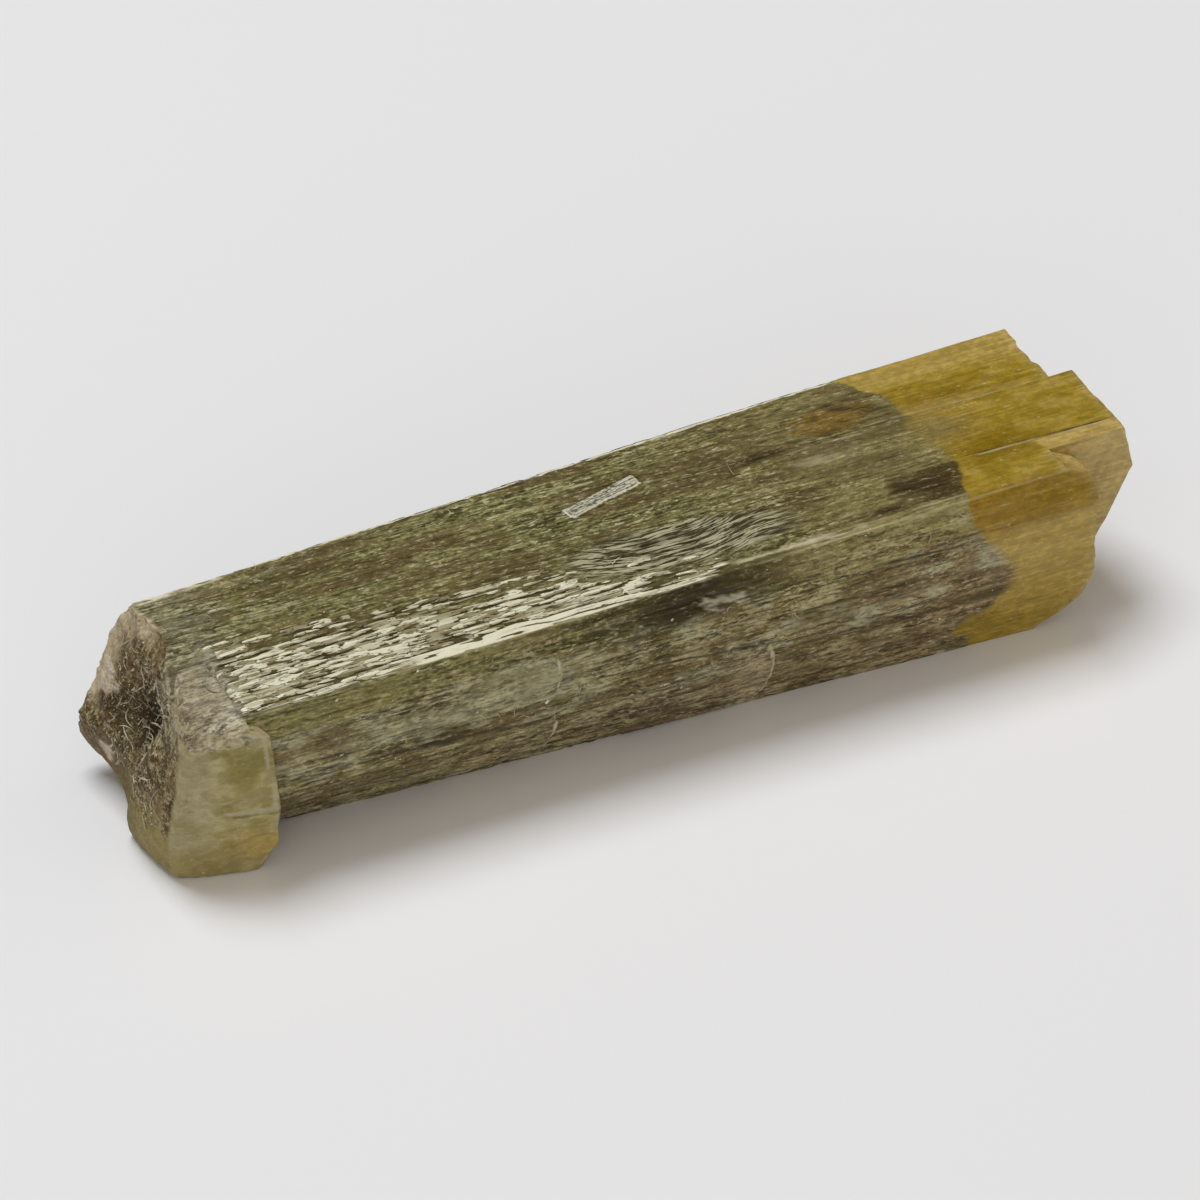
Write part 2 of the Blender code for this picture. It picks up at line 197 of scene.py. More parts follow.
# %% [markdown]
# The prism is the crystal's main form. Diopside grows as a four-sided prism with its corners cut, and this one has
# further long edges where its rods meet. A box with bevels could not follow them, so the cross-section is a ring of
# twelve long edges, which drift a little from the broken end to the tip.
# Each edge is given by its Y and Z at three stations along the prism, and is straight between them.

# %% The long edges of the prism
STATIONS = np.array([-15.0, 5.5, 15.5])
EDGES = {
    "ridge": ((-3.46, 4.87), (-3.46, 5.12), (-3.46, 5.24)),
    "brow": ((-3.58, 4.35), (-3.70, 4.10), (-3.76, 4.10)),
    "waist": ((-3.45, 2.30), (-3.68, 2.55), (-3.60, 2.00)),
    "front_foot": ((-1.45, -0.20), (-2.76, -0.20), (-3.40, -0.20)),
    "back_foot": ((0.12, -0.20), (0.50, -0.20), (0.85, -0.20)),
    "heel": ((2.62, 1.10), (3.05, 1.10), (3.18, 1.20)),
    "shoulder": ((2.02, 4.70), (2.86, 4.65), (3.24, 4.60)),
    "back_edge": ((1.55, 5.50), (2.66, 5.40), (3.14, 5.34)),
    "back_rim": ((1.42, 5.58), (2.54, 5.48), (3.02, 5.42)),
    "rod_split": ((0.46, 5.61), (0.46, 5.37), (0.46, 5.22)),
    "middle_rod": ((0.38, 5.64), (0.38, 5.45), (0.38, 5.42)),
    "strip_top": ((-0.35, 5.75), (-3.28, 5.19), (-3.30, 5.30)),
}
SIDE_CELLS = {"ridge": 16, "brow": 36, "waist": 40, "front_foot": 16, "back_foot": 26, "heel": 34,
              "shoulder": 10, "back_edge": 2}
TOP_RUN = ("back_rim", "rod_split", "middle_rod", "strip_top", "ridge")


def edge(name, x):
    """The Y and Z of one long edge at each x: straight lines between its three stations."""
    table = np.array(EDGES[name])
    return np.interp(x, STATIONS, table[:, 0]), np.interp(x, STATIONS, table[:, 1])


def top_level(x, y):
    """The height of the plain top at each (x, y): from edge to edge it falls or climbs along a straight line."""
    corners = [edge(name, x) for name in TOP_RUN]
    level = corners[0][1]
    for (y0, z0), (y1, z1) in zip(corners, corners[1:]):
        level = level + (z1 - z0) * np.clip((y0 - y) / (y0 - y1), 0, 1)
    return level


print("section at the middle, mm:",
      {name: [round(float(v), 2) for v in edge(name, 0.0)] for name in ("ridge", "waist", "heel")})

# %% [markdown]
# The skin of the prism is one closed tube: one parameter runs round the ring of edges, the other along X.
# Lofting a curve would space the rows evenly by length. Here the top is divided by its Y alone, so that the narrow
# scraped strip along its front keeps enough rows of faces along its whole length.

# %% The skin of the prism
LEFT_X, FINE_TO_X, RIGHT_X, FINE_STEP, COARSE_STEP = -14.75, 6.0, 15.15, 0.135, 0.17
BACK_SHARE, BACK_CELLS, STRIP_CELLS = 0.46, 56, 97
x_rows = np.concatenate([np.arange(LEFT_X, FINE_TO_X, FINE_STEP), np.arange(FINE_TO_X, RIGHT_X, COARSE_STEP)])
top_share = np.concatenate([np.linspace(0, BACK_SHARE, BACK_CELLS, endpoint=False),
                            np.linspace(BACK_SHARE, 1, STRIP_CELLS, endpoint=False)])


def prism_ring(x):
    """Points of the plain prism for each x (rows) and each place round the ring (columns): straight from one long
    edge to the next on the sides, and the top's own height by Y on the top."""
    columns = []
    names = list(EDGES)
    for name, cells in SIDE_CELLS.items():
        y0, z0 = edge(name, x)
        y1, z1 = edge(names[names.index(name) + 1], x)
        share = np.arange(cells) / cells
        columns.append(np.stack([y0[:, None] + (y1 - y0)[:, None] * share,
                                 z0[:, None] + (z1 - z0)[:, None] * share], -1))
    y0, y1 = edge("back_rim", x)[0][:, None], edge("ridge", x)[0][:, None]
    y = y0 + (y1 - y0) * top_share
    columns.append(np.stack([y, top_level(x[:, None], y)], -1))
    yz = np.concatenate(columns, 1)
    return np.concatenate([np.broadcast_to(x[:, None, None], yz.shape[:2] + (1,)), yz], -1)


def ring_normals(points):
    """Outward directions on a closed tube: the step round it crossed with the step along it, made one long."""
    round_step = np.roll(points, -1, 1) - np.roll(points, 1, 1)
    along_step = np.gradient(points, axis=0)
    normal = np.cross(round_step, along_step)
    return normal / np.linalg.norm(normal, axis=-1, keepdims=True)


plain = prism_ring(x_rows)
outward = ring_normals(plain)
X, Y, Z = plain[..., 0], plain[..., 1], plain[..., 2]
TOP = slice(sum(SIDE_CELLS.values()), None)
is_top = np.zeros(X.shape, bool)
is_top[:, TOP] = True
across = np.where(is_top, Y, Z)
front_zone = rise(-Y, 1.2, 1.5) * ~is_top * rise(Z, 0.0, 0.05)
print("skin grid:", X.shape, "triangles:", 2 * X.size)

# %% [markdown]
# Relief. The real faces are never flat: the crystal grew as laths side by side, so every face carries steps and
# hair-fine lines that run the whole length. A bump in the finish would vanish from the crystal's outline and from the
# exported mesh, so the relief is real: one height for each point, added along the outward normal.

# %% Steps and fine lines
LATH_PIECE = 9.0


def laths(x, across, width, seed):
    """Long flat steps: a random height for each band of the given width, joined by short slopes. The bands' edges
    wander slowly along x, and each band changes height once in a while."""
    place = across / width + 0.35 * grain(x / 5.0, across / 2.0, seed=seed)
    band = np.floor(place)
    none = np.zeros_like(band)

    def level(band):
        """The random height of a band, which is one number for each 9 mm piece of its length."""
        piece = np.floor(x / LATH_PIECE + 7.0 * lattice(band, none, none, seed + 1))
        return lattice(band, piece, none, seed + 2)

    return level(band) + (level(band + 1) - level(band)) * rise(place - band, 0.80, 1.0) - 0.5


def fine_lines(x, across, seed):
    """Hair-fine lines along the crystal: grain stretched 4 mm long at 0.11 mm wide, with a finer layer on it."""
    return (0.6 * grain(x / 4.0, across / 0.11, seed=seed)
            + 0.4 * grain(x / 1.6, across / 0.055, seed=seed + 1))


striation = 0.015 * fine_lines(X, across, 31) * (0.25 + 0.75 * rise(X, 10.0, 9.0))
steps = 0.05 * laths(X, across, 0.42, 41) * np.where(is_top, 0.6, 1.0)
print("steps, mm:", steps.min().round(3), "to", steps.max().round(3))

# %% Overlapping flakes
def shingles(x, across, length, width, seed, layers=6, cover=1.0):
    """Overlapping long flakes, as splintered laths leave them. Each layer is a grid with one flake to a cell,
    lens-shaped: 1 - |along|^1.5 - aside^2, in half lengths and half widths. A point belongs to the highest flake over
    it. Gives that flake's height, or -1 in a gap, and how far in from its edge the point is."""
    top, inside = np.full(x.shape, -1.0), np.zeros(x.shape)
    for layer in range(layers):
        u, v = x / length + 0.61 * layer, across / width + 0.37 * layer
        i, j = np.floor(u), np.floor(v)
        for a in (-1, 0, 1):
            for b in (-1, 0, 1):
                at_x, at_y, long, wide, high = (
                    lattice(i + a, j + b, np.full_like(i, n), seed + 17 * layer) for n in range(5))
                along = (u - i - a - at_x) / (0.20 + 0.55 * long ** 1.5)
                aside = (v - j - b - at_y + 0.12 * along * (high - 0.5)) / (0.22 + 0.26 * wide)
                flake_in = 1 - np.abs(along) ** 1.5 - aside ** 2
                level = high + 0.25 * np.minimum(flake_in, 0.5) + 0.25 * (wide - 0.5) * aside
                over = (flake_in > 0) & (level > top) & (high > 1 - cover)
                top, inside = np.where(over, level, top), np.where(over, flake_in, inside)
    return top, inside


small_scales, small_in = shingles(X, across, 0.55, 0.11, seed=43, layers=4, cover=0.75)
print("share of the skin under small flakes:", round(float((small_in > 0).mean()), 2))

# %% [markdown]
# A strip along the front of the top has been scraped. There the laths have split into small pale splinters, which
# overlap like shingles; along its lower border runs a smoother pale band. Their paleness is partly their own and
# partly a painted reflection of the lamp. Painted flakes would have no shadows at their edges, so they are raised
# here, and how pale each point is goes with the height, for the finish to use.

# %% Where the top is scraped
STRIP_UPPER_X = (-15, -12, -9, -6, -4, -2.2, -1.0, 0.6, 2.4, 4.0, 6.0, 16)
STRIP_UPPER_Y = (-1.0, -1.35, -1.65, -1.85, -1.95, -2.15, -2.75, -2.85, -2.95, -3.1, -3.25, -3.4)
STRIP_LEFT, STRIP_RIGHT = (-11.85, -11.6), (3.6, 0.2)


def strip_share(x, y):
    """How far a point lies in the scraped strip: 1 between the ridge and the strip's upper edge, 0 above it."""
    upper = np.interp(x, STRIP_UPPER_X, STRIP_UPPER_Y)
    ragged = 0.50 * grain(x / 1.3, y / 0.16, seed=11) + 0.20 * grain(x / 0.4, y / 0.08, seed=12)
    return rise(y + ragged, upper + 0.16, upper + 0.02)


top_x, top_y = X[:, TOP], Y[:, TOP]
torn_x = top_x + 0.30 * grain(top_x / 0.5, top_y / 0.16, seed=107)
worn = strip_share(top_x, top_y) * rise(top_x, *STRIP_RIGHT) * rise(torn_x, *STRIP_LEFT)
print("share of the top that is scraped:", round(float(worn.mean()), 2))

# %% Splinters of the strip
near_strip = 0.42 + 0.42 * strip_share(top_x, top_y + 0.5)
scales, scale_in = shingles(top_x, top_y, 0.85, 0.105, seed=23, layers=4, cover=near_strip)
broad, broad_in = shingles(top_x, top_y, 1.5, 0.20, seed=27, layers=3, cover=0.45)
scales, scale_in = np.where(broad > 0.62, broad, scales), np.where(broad > 0.62, broad_in, scale_in)
flake_face = np.clip(scale_in / 0.4, 0, 1) * (0.45 + 0.55 * rise(scales, 0.25, 0.75))
scale_height = np.where(scales > 0, 0.055 * scales + 0.015 * rise(scale_in, 0.0, 0.3), -0.045)
print("share of the scraped strip that is flakes:", round(float((scale_in > 0)[worn > 0.5].mean()), 2))

# %% The smooth band below the splinters
band_edge = -3.10 - 0.20 * rise(top_x, -3.0, 2.0) + 0.05 * grain(top_x / 1.0, 0.0, seed=25)
band = rise(top_y, band_edge + 0.015, band_edge - 0.015) * rise(top_x, -7.5, -6.5) * rise(top_x, 3.2, 0.4)
chipped = rise(grain(top_x / 0.5, top_y / 0.06, seed=26), 0.35, 0.5)
split_away = np.abs(top_y - band_edge + 0.17 + 0.03 * grain(top_x / 0.7, 0.0, seed=29))
split = rise(split_away, 0.035, 0.012) * rise(top_x, -5.0, -3.5)
smooth_face = 1 - 0.8 * chipped - 0.9 * rise(np.abs(top_y - band_edge), 0.045, 0.02) - 0.85 * split
pale_face = flake_face + (smooth_face - flake_face) * band
strip_height = scale_height + (0.035 * smooth_face - 0.03 - scale_height) * band
print("share of the top in the smooth band:", round(float(band.mean()), 3))

# %% Lone flakes beyond the strip
LONE_FLAKES = (
    # start x, end x, low y, high y
    (-11.92, -11.02, -2.60, -2.32), (-12.05, -11.80, -2.72, -2.60), (-11.76, -11.00, -2.97, -2.84),
    (-12.0, -11.7, -2.05, -1.95), (-11.88, -11.10, -1.17, -1.02), (-11.09, -10.60, 0.24, 0.34),
    (-11.6, -11.3, -1.70, -1.60), (-10.9, -10.4, -1.32, -1.22),
)
for start, end, low, high in LONE_FLAKES:
    along = np.abs((2 * top_x - start - end) / (end - start))
    aside = np.abs((2 * top_y - low - high) / (high - low))
    flake_in = 1 - along ** 3 - aside ** 3
    lone = rise(flake_in + 0.7 * grain(top_x / 0.22, top_y / 0.06, seed=28), 0.15, 0.35)
    pale_face, worn = np.maximum(pale_face, lone), np.maximum(worn, lone)
    strip_height = np.maximum(strip_height, 0.05 * lone)
print("share of the top that is pale:", round(float((worn * pale_face).mean()), 3))

# %% [markdown]
# A mineral has its own marks as well as its pattern: dark cracks, and paler streaks where it is clearer. Noise alone
# gives none that stands out, so each is a row in a table: where it starts and ends, how wide it is and its tone.

# %% Streaks
TOP_STREAKS = (
    # start x, y; end x, y; half width; tone: -1 dark brown, 1 pale
    (3.0, 0.15, 8.3, 0.70, 0.22, -0.45), (4.4, 0.50, 6.4, 0.75, 0.22, -0.55), (0.3, -1.76, 1.9, -1.73, 0.13, -0.9),
    (-0.9, -1.31, 0.4, -1.33, 0.12, -0.9), (3.0, -2.60, 5.3, -2.55, 0.10, -0.8), (7.5, -2.25, 9.1, -2.60, 0.42, -1.0),
    (6.65, -2.96, 7.6, -3.06, 0.19, -1.0), (5.5, -0.30, 7.7, -0.35, 0.42, 0.35),
    (-11.4, -0.55, -8.8, -0.25, 0.10, 0.55), (-9.5, 0.9, -6.2, 0.6, 0.12, -0.5), (-4.6, 0.75, -0.9, 0.45, 0.07, -0.6),
    (-2.5, 0.95, 0.4, 0.80, 0.06, 0.4), (-11.6, 1.2, -8.0, 1.3, 0.14, 0.4), (1.2, 1.3, 5.5, 1.5, 0.10, -0.5),
    (6.5, 2.2, 8.6, 2.1, 0.14, 0.3),
    (7.6, 1.6, 9.3, 1.0, 0.30, -0.7), (5.6, 0.25, 8.4, 0.2, 0.04, 0.7), (3.5, 1.75, 8.0, 1.9, 0.08, -0.5),
    (-7.5, -0.5, -4.0, -0.9, 0.10, -0.45), (-6.5, -1.2, -2.5, -1.35, 0.12, -0.4), (-1.0, -0.5, 2.4, -0.7, 0.09, -0.5),
    (1.6, -1.0, 5.6, -0.95, 0.07, 0.35), (2.0, -1.9, 7.2, -1.95, 0.09, -0.6), (4.6, -1.35, 8.6, -1.35, 0.10, -0.5),
    (5.4, -2.0, 7.4, -1.9, 0.05, 0.6), (4.2, -3.22, 9.4, -3.26, 0.05, 0.5), (5.5, -2.75, 6.8, -2.8, 0.06, 0.5),
    (2.2, -3.28, 6.2, -3.33, 0.06, 0.85),
)
FRONT_STREAKS = (
    # start x, z; end x, z; half width; tone
    (-11.0, 2.72, -6.9, 2.42, 0.06, -0.7), (-6.9, 2.42, -2.8, 2.02, 0.10, -1.0), (-6.0, 2.20, -3.4, 1.95, 0.05, -0.8),
    (-9.5, 3.30, -3.2, 3.30, 0.50, 0.35), (-3.0, 3.85, -1.0, 3.75, 0.22, 0.40), (-2.2, 3.05, 2.9, 2.62, 0.035, -1.0),
    (-2.4, 2.25, -0.6, 2.20, 0.07, -0.7), (-1.5, 1.10, 1.9, 0.85, 0.18, -0.5), (4.2, 3.30, 7.6, 3.15, 0.05, -0.8),
    (3.4, 2.85, 8.6, 2.75, 0.28, 0.35), (5.0, 1.90, 9.0, 1.85, 0.05, -0.6), (4.4, 0.95, 8.8, 0.95, 0.12, -0.5),
    (-6.3, 0.16, -3.3, 0.13, 0.035, 1.0), (-10.5, 1.25, -7.4, 1.15, 0.08, -0.5), (-9.0, 0.75, -5.0, 0.70, 0.06, 0.4),
    (-1.0, 1.95, 1.6, 1.75, 0.14, 0.4), (-10.6, 4.1, -7.0, 4.15, 0.10, -0.5), (0.6, 3.55, 3.6, 3.45, 0.06, 0.5),
    (6.5, 4.05, 9.0, 3.95, 0.06, -0.9), (4.0, 2.25, 6.6, 2.15, 0.05, 0.5), (8.8, 1.30, 9.7, 1.10, 0.35, -0.4),
)


def streak_tone(x, across, table, seed):
    """The sum of long soft marks: each is its tone times exp(-aside^2), aside in half widths from the line between
    its ends, fading over its last part; grain breaks it up."""
    tone = np.zeros(x.shape)
    torn = 0.75 + 0.5 * grain(x / 0.45, across / 0.07, seed=seed)
    wander = 0.05 * grain(x / 0.8, across / 0.5, seed=seed + 1)
    for x0, a0, x1, a1, half_width, strength in table:
        share = np.clip((x - x0) / (x1 - x0), 0, 1)
        aside = (across + wander - a0 - (a1 - a0) * share) / half_width
        past = np.maximum(x0 - x, x - x1) / (0.12 + half_width)
        tone = tone + strength * torn * np.exp(-aside ** 2) * rise(past, 0.6, -0.6)
    return np.clip(tone, -1, 1)


tone = streak_tone(X, Y, TOP_STREAKS, 95) * is_top + streak_tone(X, Z, FRONT_STREAKS, 97) * front_zone
print("streaks:", len(TOP_STREAKS), "on the top,", len(FRONT_STREAKS), "on the front")

# %% [markdown]
# Three thin plates overlap the front face, each a piece of the crystal that cleaved off along its length and stopped
# at a curved end. The light that the end's rim would catch is painted on it as a bright line, a painted highlight.
# A plate is a raised area with a signed distance to its border, so that one number gives both the step and the
# painted highlight along it.

# %% Plates on the front
FRONT_PLATES = (
    # start x, end x, low z, high z, how proud
    (-12.5, -2.85, 0.25, 2.35, 0.07), (-12.5, -2.95, 2.75, 4.30, 0.05), (-0.60, 3.50, 0.05, 2.60, 0.09),
)
PLATE_NOSE, RIM_WIDTH, PLATE_LEAN = 0.55, 0.2, 0.012


def plate(x, z, start, end, low, high):
    """Signed distance in mm to a plate with square left and rounded right end: positive inside, as the least of the
    distances to its sides and to the round end's ellipse."""
    middle, half = (low + high) / 2, (high - low) / 2
    sides = half - np.abs(z - middle)
    round_end = end - PLATE_NOSE * half
    nose = (1 - np.hypot(np.maximum(x - round_end, 0) / (PLATE_NOSE * half), (z - middle) / half)) * half * 0.6
    return np.minimum(np.minimum(sides, x - start), np.where(x > round_end, nose, sides))


rim, plate_rise = np.zeros(X.shape), np.zeros(X.shape)
for start, end, low, high, proud in FRONT_PLATES:
    lean = PLATE_LEAN * (X - end) * (low > 2)
    inside = plate(X, Z + lean, start, end, low, high)
    near_end = rise(X, end - 0.75, end - 0.35) * (0.93 + 0.15 * grain(X / 0.25, Z / 0.25, seed=99))
    near_end = near_end * (0.85 + 0.25 * grain(X / 0.7, Z / 0.5, seed=103)) * rise(Z, high + 0.02, high - 0.30)
    # painted highlight: a bright line along each plate's curved end
    rim = np.maximum(rim, (1 - np.abs(inside) / RIM_WIDTH) * near_end)
    plate_rise = np.maximum(plate_rise, proud * rise(inside, -0.03, 0.05))
rim, plate_rise = rim * front_zone, plate_rise * front_zone
print("plates on the front:", len(FRONT_PLATES))

# %% [markdown]
# Two things lie on the top: a small clear lath that broke loose and came to rest at an angle, and a fan of fibres
# that the scraping bent aside. Both are drawn on the skin's own grid, in coordinates that turn or bend with them.

# %% A loose lath and bent fibres on the top
LATH_MIDDLE, LATH_TURN, LATH_LENGTH, LATH_WIDTH, LATH_PROUD = (0.33, 0.58), math.radians(17), 2.5, 0.46, 0.07
away_x, away_y = X - LATH_MIDDLE[0], Y - LATH_MIDDLE[1]
lath_u = away_x * math.cos(LATH_TURN) + away_y * math.sin(LATH_TURN)
lath_v = -away_x * math.sin(LATH_TURN) + away_y * math.cos(LATH_TURN)
loose = np.minimum(LATH_LENGTH / 2 - np.abs(lath_u), (LATH_WIDTH / 2 - np.abs(lath_v)))
loose = np.where(is_top, loose, -1.0)
bend = 0.55 * rise(X, -2.5, 0.5) - 0.45 * rise(X, 1.5, 4.0)
fan = spot(X, Y + 0.05 * X, 1.3, -2.0, 2.9, 0.75) * is_top * rise(X, -3.0, -1.8)
hair = grain(X / 1.1, (Y + bend) / 0.07, seed=91)
print("points of the loose lath:", int((loose > 0).sum()))

# %% [markdown]
# Now the relief comes together. The seams between the rods show as shallow grooves, and each kind of step is added
# where it belongs: small flakes on the olive part, splinters on the scraped strip, nothing on the flat underside.
# The skin is then the plain prism moved outwards by the sum.

# %% Grooves between the rods
GROOVE_Y, TIP_GROOVE_Y, GROOVE_HALF_WIDTH = 0.44, -1.95, 0.035
groove_aside = (Y - GROOVE_Y + 0.02 * grain(X / 1.5, 0.0, seed=93)) / GROOVE_HALF_WIDTH
groove = np.exp(-groove_aside ** 2) * is_top * rise(X, -0.5, 3.0)
tip_groove = np.exp(-((Y - TIP_GROOVE_Y) / GROOVE_HALF_WIDTH) ** 2) * is_top * rise(X, 10.0, 11.0)
print("points in the grooves:", int((groove + tip_groove > 0.5).sum()))

# %% Relief all round
olive = rise(X, 10.0, 9.0)
small = np.where(small_scales > 0, 0.022 * small_scales + 0.008 * rise(small_in, 0, 0.3), -0.008)
height = striation + steps + olive * small * (1 - 0.8 * rise(loose, -0.05, 0.02))
height = height + plate_rise + LATH_PROUD * rise(loose, -0.02, 0.04) + 0.03 * rise(fan, 0.3, 0.7) * hair
height = height - 0.09 * groove - 0.025 * tip_groove
height[:, TOP] = height[:, TOP] * (1 - 0.8 * worn) + worn * strip_height
flat_underside = rise(-outward[..., 2], 0.95, 0.85)
calm_by_lip = 1 - 0.85 * is_top * rise(X, -11.8, -12.0) * rise(Y, -0.8, -1.0)
height = height * flat_underside * calm_by_lip
bevel = np.where(is_top, rise(Y, -1.2, -2.6), rise(Z, 2.8, 4.2) * (outward[..., 1] < -0.5))
height = height - 0.60 * bevel * rise(X, -11.85, -12.35)
skin = plain + outward * height[..., None]
skin[..., 2] = np.maximum(skin[..., 2], 0.0)
print("relief, mm:", height.min().round(3), "to", height.max().round(3))

# %% [markdown]
# The finish has to know where each of these things lies, but it cannot work them out again. So every point of the
# mesh keeps a few named numbers, here called marks.

# %% Marks for the finish
def top_mark(values):
    """Numbers given for the top alone, as numbers for the whole skin: 0 elsewhere."""
    mark = np.zeros_like(X)
    mark[:, TOP] = values
    return mark


# Painted shade: the grooves between the rods, and at the tips, are also darkened in the tone.
tone = tone - 0.9 * groove - 0.35 * tip_groove - 0.6 * rise(np.abs(loose + 0.06), 0.05, 0.01)
# Painted highlight: a pale line along the back rim of the top, kept in the pale and smooth marks.
back_rim_highlight = rise(np.abs(Y - edge("back_rim", X)[0]), 0.055, 0.02) * rise(X, 8.7, 7.7) * rise(X, -10.0, -9.0) * is_top
smooth = top_mark(worn * band * smooth_face * (1 - 0.6 * rise(top_x, -3.0, 0.5)))
marks = {
    "relief": height, "tone": np.clip(tone, -1, 1), "rim": rim,
    "worn": top_mark(worn), "pale": np.maximum(np.clip(top_mark(worn * pale_face), 0, 1), back_rim_highlight),
    "smooth": np.maximum(smooth, back_rim_highlight), "fan": rise(fan, 0.15, 0.45), "bent": Y + bend,
    "loose": np.clip(loose + 0.2, 0, 0.4) / 0.4, "loose_side": np.where(is_top, lath_v, 0.0),
}
print("marks at each point:", ", ".join(marks))

# %% [markdown]
# Blender takes the points and the faces as plain arrays. Every closed form here is a tube or a block: the prism and
# the lip are tubes with flat ends, and each end of the crystal is cut by a block whose front is a height map. So two
# helpers give all the faces, and a third makes the mesh with its marks.

# %% Closed grids
def add_piece(name, points, faces, marks=None):
    """A mesh object from points in mm and rows of vertex numbers, with a named number at each point for each mark."""
    mesh = bpy.data.meshes.new(name)
    mesh.from_pydata(to_frame(points), [], faces)
    for mark, values in (marks or {}).items():
        add_mark(mesh, mark, "FLOAT", "value", values)
    mesh.update()
    piece = bpy.data.objects.new(name, mesh)
    bpy.context.scene.collection.objects.link(piece)
    return piece


def add_mark(mesh, name, kind, field, values):
    """A named number or colour at each point of a mesh."""
    mesh.attributes.new(name, kind, "POINT").data.foreach_set(field, np.asarray(values, np.float32).ravel())


def tube_faces(rows, columns):
    """Four-sided faces of a closed tube, ring after ring, and one many-sided face over each end."""
    i, j = np.meshgrid(np.arange(rows - 1), np.arange(columns), indexing="ij")
    k = (j + 1) % columns
    quads = np.stack([i * columns + j, i * columns + k, (i + 1) * columns + k, (i + 1) * columns + j], -1)
    ends = [list(range(columns))[::-1], list(range((rows - 1) * columns, rows * columns))]
    return quads.reshape(-1, 4).tolist() + ends


def block_faces(rows, columns):
    """Faces of a closed block made of a front grid and a back grid of the same size: both grids and the strip
    between their borders."""
    index = np.arange(rows * columns).reshape(rows, columns)
    front_quads = np.stack([index[:-1, :-1], index[1:, :-1], index[1:, 1:], index[:-1, 1:]], -1).reshape(-1, 4)
    border = np.concatenate([index[0, :-1], index[:-1, -1], index[-1, :0:-1], index[:0:-1, 0]])
    following = np.roll(border, -1)
    shift = rows * columns
    side_quads = np.stack([border, following, following + shift, border + shift], -1)
    return np.concatenate([front_quads, front_quads[:, ::-1] + shift, side_quads]).tolist()


crystal = add_piece("crystal_skin", skin.reshape(-1, 3), tube_faces(*X.shape), marks)
print("faces of the prism:", len(crystal.data.polygons))

# %% [markdown]
# The ends are not bent out of the prism but cut and joined, as they are on the real crystal, which was whole before
# it broke. A Boolean keeps the marks of the prism's own points, and its result replaces the mesh at once, so the
# piece carries no live modifier.

# %% Cutting and joining
def combine(piece, tool, operation):
    """Cuts or joins the closed tool with the closed piece and keeps the result as the piece's own mesh."""
    step = piece.modifiers.new("combine", "BOOLEAN")
    step.operation, step.object, step.solver = operation, tool, "MANIFOLD"
    evaluated = piece.evaluated_get(bpy.context.evaluated_depsgraph_get())
    result = bpy.data.meshes.new_from_object(evaluated)
    piece.modifiers.clear()
    old, piece.data = piece.data, result
    bpy.data.meshes.remove(old)
    bpy.data.objects.remove(tool)
    return len(result.polygons)


def cut_end(name, end_x, y, z, far_x):
    """Cuts the crystal along a height map X = end_x(y, z), with a block that reaches from it to far_x."""
    y, z = np.meshgrid(y, z, indexing="ij")
    face = np.stack([end_x(y, z), y, z], -1)
    rear = np.stack([np.full_like(y, far_x), y, z], -1)
    faces = block_faces(*y.shape)
    if far_x > 0:
        faces = [corners[::-1] for corners in faces]
    tool = add_piece(name, np.concatenate([face.reshape(-1, 3), rear.reshape(-1, 3)]), faces)
    return combine(crystal, tool, "DIFFERENCE")


print("each end is cut with one height map")

# %% [markdown]
# The three rods end at different places. Seen from the front each end is an outline of X by height, so the cutting
# tool's face is a height map of X over Y and Z: three outlines side by side, with a sheer step from one rod to the
# next. The grid has two columns close together at each step, which keeps it sheer.

# %% The honey-yellow ends of the three rods
BACK_END = ((-0.6, 12.30), (1.2, 13.05), (2.7, 13.70), (4.1, 14.02), (5.2, 13.92), (6.4, 13.80))
MIDDLE_END = ((-0.6, 12.40), (0.60, 12.90), (1.83, 13.69), (2.39, 14.04), (3.25, 14.46), (3.96, 14.83),
              (5.40, 14.50), (6.4, 14.40))
FRONT_END = ((-0.6, 10.90), (0.17, 11.71), (0.41, 12.32), (0.65, 12.62), (0.89, 12.92), (1.35, 13.06),
             (1.80, 13.20), (2.51, 13.07), (4.20, 13.10), (4.90, 12.95), (5.25, 12.20), (6.4, 11.90))
FINGER_Y, FINGER_SHORTER = (0.42, 1.25, 1.35, 2.2, 2.3, 6.0), (0.0, 0.0, 0.10, 0.10, 0.03, 0.03)
FRONT_ROD_Y, BACK_ROD_Y, SHEER = -2.50, 0.42, 0.004
TIP_STEPS = (FRONT_ROD_Y, FRONT_ROD_Y + SHEER, BACK_ROD_Y, BACK_ROD_Y + SHEER)


def outline(z, table):
    """X of an outline at each height, straight between its points."""
    levels, places = np.array(table).T
    return np.interp(z, levels, places)


def rod_ends(y, z):
    """X of the crystal's right end: the outline of the rod that each Y belongs to, with small facets and grain."""
    facets = 0.10 * grain(y / 0.7, z / 0.9, seed=51) + 0.03 * grain(y / 0.15, z / 0.2, seed=52)
    back_x = outline(z, BACK_END) - np.interp(y, FINGER_Y, FINGER_SHORTER)
    x = np.where(y > BACK_ROD_Y, back_x, np.where(y > FRONT_ROD_Y, outline(z, MIDDLE_END), outline(z, FRONT_END)))
    return x - 0.5 * np.abs(facets)


tip_y = np.unique(np.concatenate([np.arange(-5.0, 4.6, 0.085), TIP_STEPS]))
print("faces after the rod ends:", cut_end("tip_cutter", rod_ends, tip_y, np.arange(-0.8, 6.6, 0.09), 17.0))

# %% [markdown]
# The left end is broken. The fracture leans outwards towards the table, with a deep pit near its middle, and its
# lower part is smooth where the crystal parted along a flat plane. It is a height map too: a sum of a lean, a few
# soft lumps, the pit, and a hackly grain made of small cells, which fades towards the smooth foot.

